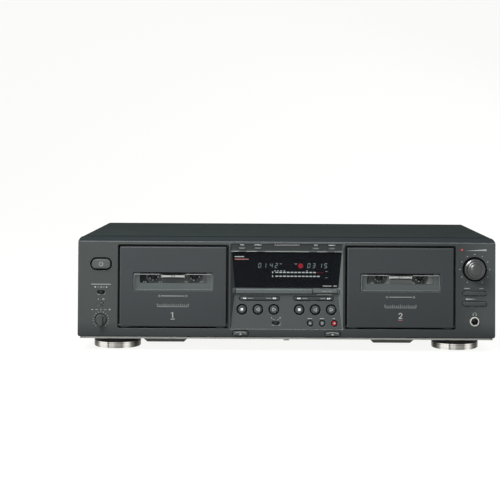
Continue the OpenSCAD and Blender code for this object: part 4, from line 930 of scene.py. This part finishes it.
# %% Painted shade in the grooves of the face
DEEP_GROOVE, GROOVE = 1.4, 1.0


def size_of(node):
    """Width and height of a node's front, without the collar behind the panel."""
    points = points_of(node)
    shown = points[points[:, 1] < FACE_Y + 0.5]
    return (shown.max(0) - shown.min(0))[[0, 2]]


power_w, power_h = size_of("power_key")
long_w, long_h = size_of("fade_key")
eject_w, eject_h = size_of("eject_key_a")
deep_plane = upright(FACE_Y + DEEP_GROOVE)
power_groove_shade = pill_ring(LEFT_X, POWER_Z, power_w + 2.25, power_h + 2.25, 1.5)
printed("groove_shade_power", power_groove_shade, deep_plane, black_shade_ink)
printed("groove_shade_level", ring_mark(KNOB_X, KNOB_Z, KNOB_R + 1.15, 2.1), deep_plane, black_shade_ink)
face_groove_shades = ring_mark(LEFT_X, PITCH_Z, 5.95, 0.6)
for z in LONG_Z:
    face_groove_shades += pill_ring(KNOB_X, z, long_w + 1.05, long_h + 1.05, 0.3)
printed("groove_shades_face", face_groove_shades, upright(FACE_Y + GROOVE), black_shade_ink)
eject_shade_frames = []
for deck in "ab":
    x, _, z = front_of("eject_key_" + deck, PUSH)
    eject_shade_frames += boxes(x, z + SIDES * (eject_h / 2 + 0.75), eject_w, 0.7)
    eject_shade_frames += boxes(x + SIDES * (eject_w / 2 + 0.75), z, 0.7, eject_h - 0.6)
printed("shade_frames_eject", eject_shade_frames, face_plane, black_shade_ink)
print("power key", power_w.round(1), power_h.round(1), "long key", long_w.round(1), long_h.round(1))

# %% [markdown]
# The rims of the door openings carry thin lines of painted shade at the top and sides, which makes
# the dark gaps look wider. The bar under the display is parted from its key and from the left wall by
# two black lines of painted shade in the gaps.

# %% Painted shade round the doors and along the bar
SHADE_LINE_TOP, SHADE_LINE_SIDES = 0.6, {"a": (0.4, 0.6), "b": (0.65, 0.3)}
on_face = panel_points[:, 1] < FACE_Y + FLUSH
at_door = abs(panel_points[:, 0] - DOOR_X) < DOOR_W / 2 + 2
at_height = (panel_points[:, 2] > DOOR_LOW[2] - 3) & (panel_points[:, 2] < DOOR_HIGH[2] + 3)
rim_points = panel_points[on_face & at_door & at_height]
rim_low, rim_high = rim_points.min(0), rim_points.max(0)
rim_w, rim_h = (rim_high - rim_low)[[0, 2]]
rim_z = (rim_low[2] + rim_high[2]) / 2
for deck, side in DECKS:
    left_w, right_w = SHADE_LINE_SIDES[deck]
    aside = np.array([right_w - left_w, -rim_w - left_w, rim_w + right_w]) / 2
    shade_lining = boxes(side * DOOR_X + aside, [rim_high[2] + SHADE_LINE_TOP / 2, rim_z, rim_z],
                   [rim_w + left_w + right_w, left_w, right_w], [SHADE_LINE_TOP, rim_h, rim_h])
    printed("shade_line_door_" + deck, shade_lining, face_plane, black_shade_ink)
bar_front = front_of("display_key", PUSH)
bar_points = points_of("display_key")
bar_points = bar_points[bar_points[:, 1] < bar_front[1] + 2]
key_left, key_h = bar_points[:, 0].min(), np.ptp(bar_points[:, 2])
bar_shade_lines = boxes([key_left - 0.75, -BAR_X - 0.4], bar_front[2], [0.7, 0.8], key_h + 0.7)
printed("shade_lines_bar", bar_shade_lines, upright(bar_front[1] + 0.2), black_shade_ink)
print("door opening", rim_w.round(1), "x", rim_h.round(1))

# %% [markdown]
# Keys carry their own marks, which ride on the key, so they move in when it is pressed. The
# transport signs are the standard ones: a square stops, a triangle plays its way, two wind.

# %% Marks on the keys
SIGN, DISH_R, EJECT_BOW = 0.42, 3.1, 14.6


def key_marks(node, marks, axis=SLOPE_PUSH, ink=pale_ink, prefix="marks_"):
    """Prints marks on the front of a key, about its middle."""
    return printed(prefix + node, marks, plane_at(front_of(node, axis), -axis), ink, node)


power_sign = ring_mark(0, 0, 1.9, SIGN, 125, 415) + [line_mark([[0, 0.4], [0, 2.4]], SIGN)]
key_marks("power_key", power_sign, PUSH)
for deck in "ab":
    key_marks("stop_key_" + deck, boxes(0, 0, 2.5, 2.5), ink=white_ink)
    key_marks("reverse_key_" + deck, open_arrow(-0.3, 0, 3.2, -1, SIGN))
    key_marks("play_key_" + deck, open_arrow(0.3, 0, 3.2, 1, SIGN))
# Dark rings of painted shade stand for the edge of each transport key's dished front
for node in transport_keys:
    key_marks(node, ring_mark(0, 0, DISH_R, FINE), ink=dish_shade_ink, prefix="dish_shade_")
key_marks("pause_key", boxes([-0.55, 0.55], 0, 0.5, 1.9))
key_marks("mute_key", ring_mark(0, 0, 0.85, THIN))
key_marks("record_key", [dot_mark(0, 0, 0.9)])
rocker_low, rocker_high = span("winding_rocker_a")
ROCKER_W = rocker_high[0] - rocker_low[0]
winding_signs = [arrow_mark(way * (ROCKER_W / 2 - inset), 0, 1.9, way)
                 for way in SIDES for inset in (4.0, 5.9)]
for node in rockers:
    key_marks(node, winding_signs, ink=white_ink)
    key_marks(node, boxes(SIDES * (ROCKER_W / 2 - 11.2), 0, 5.4, 0.7), ink=soft_ink, prefix="lines_")
eject_sign = [np.array([[-1.1, -0.9], [1.1, -0.9], [0, 0.5]]), *boxes(0, -1.35, 2.2, 0.45),
              line_mark(arc_line(0, 1.4 - EJECT_BOW, EJECT_BOW, 66, 114), THIN)]
for deck in "ab":
    key_marks("eject_key_" + deck, eject_sign, PUSH)
key_marks("display_key", boxes([-1, 4.5], 0, [5, 3], 0.7), PUSH, soft_ink)
print("outlines on a rocker:", len(winding_signs), "on an eject key:", len(eject_sign))

# %% [markdown]
# On the sloping plate, black rings of painted shade lie in the grooves of the keys, small marks stand
# over the keys, and thin lines fan out from the dubbing switch to a 1 and a 2 for single and double
# speed.

# %% Marks on the sloping plate
KEY_PROUD, ROCKER_H = 1.1, 3.9
plate_point = front_of("play_key_a", SLOPE_PUSH) + KEY_PROUD * SLOPE_PUSH
slope_plane = plane_at((0, *plate_point[1:]), -SLOPE_PUSH)
slope_up = slope_plane[2]


def on_slope(node):
    """Place of a key on the sloping plate: along X, and up the slope from the transport row."""
    front = front_of(node, SLOPE_PUSH)
    return front[0], (front - slope_plane[0]) @ slope_up


def one(x, y, h):
    """The figure 1 as one line."""
    return [line_mark([[x - 0.35 * h, y + 0.25 * h], [x, y + 0.5 * h], [x, y - 0.5 * h]], 0.16 * h)]


def two(x, y, h):
    """The figure 2: most of a half circle, a slanting line and a base."""
    top = arc_line(x, y + 0.22 * h, 0.28 * h, 170, -40, 14)
    bend = line_mark(np.concatenate([top, [[x - 0.3 * h, y - 0.46 * h]]]), 0.16 * h)
    return [bend, *boxes(x, y - 0.44 * h, 0.66 * h, 0.15 * h)]


# Painted shade in the grooves of the keys
groove_shade_marks = []
for node in transport_keys:
    groove_shade_marks += ring_mark(*on_slope(node), 5.1, 1.4)
for node in small_keys:
    groove_shade_marks += ring_mark(*on_slope(node), 3.15, 0.8)
for node in rockers:
    groove_shade_marks += pill_ring(*on_slope(node), ROCKER_W + 1, ROCKER_H + 1, 0.28)
groove_plane = plane_at(slope_plane[0] + GROOVE * SLOPE_PUSH, -SLOPE_PUSH)
printed("groove_shades_slope", groove_shade_marks, groove_plane, black_shade_ink)

slope_marks = []
for node, w in zip(small_keys, (4.6, 4.6, 2.2)):
    x, y = on_slope(node)
    slope_marks += boxes(x - 0.4, y + 4.9, w, 0.55)
x, y = on_slope("dubbing_switch")
slope_marks += [line_mark([[x + 0.8 * s, y + 2.9], [x + 3.2 * s, y + 4.4]], 0.3) for s in SIDES]
slope_marks += one(x - 4.4, y + 5.2, 1.7) + two(x + 4.4, y + 5.2, 1.7)
slope_marks += boxes(middle("display_key")[0] - 1, on_slope("winding_rocker_b")[1] + 4.1, 15, 0.5)
printed("marks_slope", slope_marks, slope_plane, pale_ink)
print("marks on the slope:", len(slope_marks))

# %% [markdown]
# The strip over the display has three small rings over two of its keys, the usual sign for a
# counter's reset, short lines over the other two and a row of dashes in the middle. The sharp ridge
# between strip and display carries a pale line of painted highlight, which is broken under the keys.

# %% Marks on the strip
SIGN_UP, RIDGE_X, RIDGE_W = 3.5, 57, 0.42
strip_plane = upright(front_of("counter_key_1", PUSH)[1] + 0.7)
key_x = dict(zip(counter_keys, (middle(node)[0] for node in counter_keys)))
sign_z = middle("counter_key_1")[2] + SIGN_UP
strip_marks = []
for node in ("counter_key_1", "counter_key_3"):
    for step in (-1.3, 0, 1.3):
        strip_marks += ring_mark(key_x[node] + step, sign_z, 0.5, 0.28)
for node in ("counter_key_2", "counter_key_4"):
    strip_marks += [*boxes(key_x[node] - 0.8, sign_z, 5.4, 0.6), dot_mark(key_x[node] + 3, sign_z, 0.45)]
strip_marks += boxes(np.linspace(-12, 12, 13), sign_z, 1.1, 0.6)
printed("marks_strip", strip_marks, strip_plane, white_ink)
for node in counter_keys:
    key_marks(node, boxes([-1.7, 0.2, 2], 0, 1.5, 0.7), PUSH, soft_ink)
outer_x, inner_x = key_x["counter_key_4"], key_x["counter_key_3"]
starts = np.array([-RIDGE_X, -outer_x + 5, -inner_x + 7, inner_x + 1, outer_x + 3])
ends = np.array([-outer_x - 3, -inner_x - 1, inner_x - 7, outer_x - 5, RIDGE_X])
# Painted highlight along the ridge, broken under the keys
ridge_highlight = boxes((starts + ends) / 2, PANE_TOP + 0.65, ends - starts, RIDGE_W)
printed("ridge_highlight_line", ridge_highlight, upright(FACE_Y + FLUSH), pale_ink)
print("marks on the strip:", len(strip_marks))

# %% [markdown]
# Each door carries a double arrow, because the tape plays both ways, a fine ruled scale and the
# number of the deck with a short line under it. The second deck records, so its line is red.

# %% Marks on the doors
ARROW_Z, SCALE_Z, NUMBER_Z, LINE_Z = 56.6, 47.2, 37.2, 32.9
ARROW_HALF, NUMBER_H = 15, 5.6


def door_marks(x, figure):
    """Arrow, scale and number of one door, about its middle."""
    marks = [line_mark([[x - ARROW_HALF + 3, ARROW_Z], [x + ARROW_HALF - 3, ARROW_Z]], 0.5)]
    for way in SIDES:
        tip, back = x + way * ARROW_HALF, x + way * (ARROW_HALF - 2)
        marks += [line_mark([[back, ARROW_Z + 1.1], [tip, ARROW_Z], [back, ARROW_Z - 1.1]], 0.45)]
    ticks = np.arange(-8, 9)
    longer = ticks % 4 == 0
    marks += boxes(x, SCALE_Z - 1.6, 32, 0.3)
    marks += boxes(x + 2 * ticks, SCALE_Z + 0.3 * longer, FINE, np.where(longer, 2.6, 1.4))
    return marks + figure(x, NUMBER_Z, NUMBER_H)


for (deck, side), figure, line_ink in zip(DECKS, (one, two), (pale_ink, red_ink)):
    door = "door_" + deck
    door_plane = upright(span(door)[0][1])
    printed("marks_" + door, door_marks(side * DOOR_X, figure), door_plane, pale_ink, door)
    printed("line_" + door, boxes(side * DOOR_X, LINE_Z, 4.2, 0.6), door_plane, line_ink, door)
print("doors marked at", [round(side * DOOR_X, 1) for _, side in DECKS])

# %% [markdown]
# The pane of a door is painted from behind, except for the clear part that shows the hubs. A pale
# band is printed across that part between the hubs. A black band of painted shadow lies at the pane's
# top, where the door's edge shades it, and its polished rim has thin pale lines of painted highlight.

# %% Windows of the doors
SIGHT_W, SIGHT_H, SIGHT_TOP, PAINT_EDGE, BAND_W = 69, 10.6, 0.5, 0.4, 24
pane_paint = finish("pane_paint", (104, 112, 112))
rim_highlight_ink = finish("rim_highlight_ink", (126, 134, 134), rough=0.4, bump=0.0)
for deck, side in DECKS:
    x = side * DOOR_X
    pane_low, pane_high = span("door_window_" + deck)
    pane_w, _, pane_h = pane_high - pane_low
    top, foot = pane_high[2], pane_low[2]
    back_plane, front_plane = upright(pane_high[1] - 0.2), upright(pane_low[1])
    sight_top = top - SIGHT_TOP
    sight_foot, paint_foot = sight_top - SIGHT_H, foot + PAINT_EDGE
    end_w = (pane_w - SIGHT_W) / 2 - PAINT_EDGE
    paint = boxes(x, (paint_foot + sight_foot) / 2, SIGHT_W + 2 * end_w, sight_foot - paint_foot)
    paint += boxes(x + SIDES * (SIGHT_W + end_w) / 2, (sight_foot + sight_top) / 2, end_w, SIGHT_H)
    # Painted shadow along the pane's top, cast by the door's edge
    top_shadow = boxes(x, top - 0.95, pane_w - 2 * PAINT_EDGE, 1.3)
    band_z, shine_w = top - 3.9, (pane_w - BAND_W) / 2 - 2.2
    band = [np.array([[x - 1.1, band_z], [x, band_z - 1.4], [x + 1.1, band_z], [x, band_z + 1.4]])]
    band += boxes(x + SIDES * (BAND_W / 4 + 0.2), band_z, BAND_W / 2 - 3, 1.8)
    band += boxes(x + SIDES * (BAND_W / 2 - 0.6), band_z, 0.9, 3.0)
    band_lines = boxes(x, band_z + SIDES * 2.0, BAND_W - 2.4, 0.5)
    # Painted highlights on the pane's polished rim: the shine and rim lines
    shine = boxes(x + SIDES * (BAND_W + shine_w + 1.6) / 2, top - 1.95, shine_w, 0.8)
    rim_highlights = boxes(x + SIDES * (pane_w / 2 - 1.0), (foot + top) / 2 - 0.7, 0.6, pane_h - 3.4)
    rim_highlights += boxes(x, foot + 1.0, pane_w - 3.0, 0.6)
    for name, marks, plane, ink in (
            ("pane_paint_", paint, back_plane, pane_paint), ("pane_shadow_", top_shadow, back_plane, black_shade_ink),
            ("pane_band_", band, front_plane, pale_ink), ("band_lines_", band_lines, front_plane, black_shade_ink),
            ("pane_shine_", shine, front_plane, soft_ink), ("pane_rim_highlight_", rim_highlights, front_plane, rim_highlight_ink)):
        printed(name + deck, marks, plane, ink, "door_" + deck)
print("clear part of a pane from", sight_foot.round(1), "to", sight_top.round(1))

# %% [markdown]
# Small marks on the pane beside each hub show how much tape is wound. The reel tables are black
# with a dashed white ring, so that one sees them turn, and a grey rim. Both rings ride on the spindle.

# %% Reel tables
DASH_R, DASH_TURN, DASH_STEP, DASH_START, TABLE_RIM, TABLE_INNER = 5.0, 28, 40, 7, 2.0, 8
clip_paint = finish("clip_paint", (235, 240, 238))
table_ink = finish("table_ink", (126, 132, 131))
for (deck, end), spindle in zip(DECK_ENDS, spindles):
    where = "_%s_%s" % (deck, end)
    x, _, z = middle(spindle)
    scale = boxes(x + np.array([-9, -7, 7, 9]), sight_foot + 1.1, 0.5, 1.2)
    printed("tape_scale" + where, scale, back_plane, clip_paint, "door_" + deck)
    points = points_of(spindle)
    away = np.hypot(points[:, 0] - x, points[:, 2] - z)
    table_y = points[away > TABLE_INNER][:, 1].min()
    dashes = [line_mark(arc_line(x, z, DASH_R, a, a + DASH_TURN, 6), 1.1)
              for a in range(DASH_START, 360, DASH_STEP)]
    printed("dashes" + where, dashes, upright(table_y), white_ink, spindle)
    table_rim = ring_mark(x, z, away.max() - TABLE_RIM / 2 - 0.3, TABLE_RIM)
    printed("table_rim" + where, table_rim, upright(table_y), table_ink, spindle)
print("reel tables at", table_y.round(2), "of radius", away.max().round(2))

# %% [markdown]
# The display is a glowing tube behind the smoked pane. Its figures are built from bars, as a real
# tube's are: seven bars make a digit. They glow, so their material gives light instead of
# reflecting it.

# %% Digits that glow
def glow(name, colour, strength):
    """A phosphor that gives light; its brightness varies slightly over the tube."""
    material, tree, surface = new_material(name)
    varied = add_node(tree, "Group", {"Base": light(*colour), "Variation": 0.4}, node_tree=SATIN_GRAIN)
    feed(tree, surface, {"Base Color": (0.02, 0.02, 0.02, 1), "Emission Color": varied["Color"],
                         "Emission Strength": strength})
    return material


# Bars of a digit, clockwise from the top, then the middle one
DIGIT_BARS = {"0": "abcdef", "1": "bc", "2": "abdeg", "3": "abcdg", "4": "bcfg", "5": "acdfg"}
BAR_ENDS = {"a": ((0, 1), (1, 1)), "b": ((1, 1), (1, 0.5)), "c": ((1, 0.5), (1, 0)),
            "d": ((0, 0), (1, 0)), "e": ((0, 0), (0, 0.5)), "f": ((0, 0.5), (0, 1)),
            "g": ((0, 0.5), (1, 0.5))}
DIGIT_WIDTH, DIGIT_LEAN, BAR_REACH, BAR_WIDTH = 0.52, 0.12, 0.84, 0.11
DIGIT_Z, DIGIT_H, DIGIT_STEP, PAIR_GAP = 85.2, 4.5, 5.2, 1.6


def digit_marks(figure, x):
    """The bars of one digit, leaning to the right; each bar stops short of its neighbours."""
    marks = []
    for bar in DIGIT_BARS[figure]:
        ends = np.array(BAR_ENDS[bar], float) * [DIGIT_WIDTH * DIGIT_H, DIGIT_H]
        ends[:, 0] += DIGIT_LEAN * ends[:, 1]
        ends = ends.mean(0) + (ends - ends.mean(0)) * BAR_REACH
        marks.append(line_mark(ends + [x, DIGIT_Z], BAR_WIDTH * DIGIT_H))
    return marks


counter_marks = []
for start, figures in ((-29.5, "0142"), (21.5, "0315")):
    for place, figure in enumerate(figures):
        counter_marks += digit_marks(figure, start + DIGIT_STEP * place + (PAIR_GAP if place > 1 else 0))
print("bars of the digits:", len(counter_marks))

# %% [markdown]
# Two rows of short bars make the level meters. Small marks over the upper row stand for its scale,
# its last bars are red and dim, and a red disc is lit for recording.

# %% Level meters
METER_Z, METER_X, METER_STEP, METER_BAR, METER_H = (80.4, 76.4), -10.2, 3.9, 2.9, 1.15
meter_marks, peak_marks = [], []
for row, lit, red in zip(METER_Z, (11, 12), (2, 0)):
    bars = boxes(METER_X + METER_STEP * np.arange(lit + red), row, METER_BAR, METER_H)
    meter_marks += bars[:lit]
    peak_marks += bars[lit:]
meter_marks += boxes(-14.6, METER_Z, 1.1, 1.8)
meter_marks += boxes([-12.4, -9.2, -5.8, -2.4, 21.1], METER_Z[0] + 1.6, 1.3, 0.8)
corner_marks = boxes([9.4, -6.2], DIGIT_Z + 4.0, [2.6, 2.2], [0.7, 0.6])
corner_marks += boxes(41.2, [89.4, 86.0, 81.6, 75.0], [2.0, 1.6, 2.2, 2.0], 0.55)
tube_plane = upright(span("display_tube")[0][1])
for name, marks, glowing in (
        ("display_figures", counter_marks + corner_marks, glow("tube_blue", (205, 225, 224), 3.8)),
        ("display_meters", meter_marks, glow("tube_white", (226, 236, 234), 5.8)),
        ("display_peaks", peak_marks, glow("tube_dim_red", (200, 40, 52), 1.6)),
        ("display_record", [dot_mark(14.4, DIGIT_Z + 2.0, 2.6)], glow("tube_red", (226, 48, 64), 4.0))):
    printed(name, marks, tube_plane, glowing, rise=0.05)
print("bars of the meters:", len(meter_marks) + len(peak_marks))

# %% [markdown]
# A few marks are printed on the front of the leaning pane: two short lines at its upper left and
# two at its lower right. The pane's own plane is found from its front edges.

# %% Marks on the display pane
pane_points = points_of("display_window")
pane_z = pane_points[:, 2]
edges = pane_points[pane_z > pane_z.max() - FLUSH], pane_points[pane_z < pane_z.min() + FLUSH]
top_edge, foot_edge = [p[np.argmin(p[:, 1])] * [0, 1, 1] for p in edges]
slant_h = np.linalg.norm(top_edge - foot_edge)
pane_plane = plane_at(foot_edge, np.cross([1.0, 0, 0], (top_edge - foot_edge) / slant_h))
pane_marks = boxes([-49, 41.8, 50], [slant_h - 4.9, 2.0, 2.0], [9.6, 9, 3.4], [0.9, 0.8, 0.8])
printed("marks_pane", pane_marks, pane_plane, pale_ink)
printed("marks_pane_red", boxes(-46.6, slant_h - 7.6, 14.4, 0.9), pane_plane, red_ink)
print("display pane height along its slope", slant_h.round(1))

# %% [markdown]
# A small red lamp sits at the top of the right column. It is a dome: a quarter circle carried round
# an axis that points out of the face.

# %% Lamp
LAMP_X, LAMP_Z, LAMP_R = 180.5, 105.3, 1.1
lamp_profile = [[LAMP_R, -1.0], *arc_line(0, 0, LAMP_R, 0, 84, 8)]
lamp_red = glow("lamp_red", (205, 34, 40), 0.9)
lamp_shape = turned(lamp_profile, (LAMP_X, FACE_Y, LAMP_Z), -PUSH, 32)
lamp = piece("record_lamp", *lamp_shape, [lamp_red], "cabinet")
print("lamp faces:", len(lamp.data.polygons))

# %% [markdown]
# Screw heads get their cross: two short dark bars on each head, painted shade standing for the
# shaded cross recess, turned a little, because no two screws end up at the same angle. Two heads sit
# on each side of the cover and one between the jacks.

# %% Crosses of the screws
CROSS_HALF, CROSS_W, CROSS_RISE = 2.0, 0.9, 0.02


def cross_mark(x, y, turn):
    """Two bars that cross at a right angle, turned by an angle in degrees."""
    ends = np.array([[-CROSS_HALF, 0], [CROSS_HALF, 0]])
    marks = []
    for angle in np.radians([turn, turn + 90]):
        spin = np.array([[math.cos(angle), math.sin(angle)], [-math.sin(angle), math.cos(angle)]])
        marks.append(line_mark(ends @ spin + [x, y], CROSS_W))
    return marks


screw_points = points_of("screws")
screw_end = screw_points.max(0)
for side, name in zip(SIDES, ("crosses_left", "crosses_right")):
    heads = screw_points[screw_points[:, 0] * side > screw_end[0] - FLUSH]
    crosses = []
    for head, turn in ((heads[heads[:, 1] < 0], 20), (heads[heads[:, 1] > 0], 55)):
        _, y, z = (head.min(0) + head.max(0)) / 2
        # Dark bars of painted shade stand for each head's cross recess
        crosses += cross_mark(side * y, z, turn)
    head_plane = plane_at((side * screw_end[0], 0, 0), (side, 0, 0), (0, side, 0))
    printed(name, crosses, head_plane, black_shade_ink, rise=CROSS_RISE)
rear_head = screw_points[screw_points[:, 1] > screw_end[1] - FLUSH]
x, y, z = (rear_head.min(0) + rear_head.max(0)) / 2
rear_plane = plane_at((0, y, 0), (0, 1, 0), (-1, 0, 0))
printed("cross_rear", cross_mark(-x, z, 35), rear_plane, black_shade_ink, rise=CROSS_RISE)
print("jack screw at", x.round(1), z.round(1))
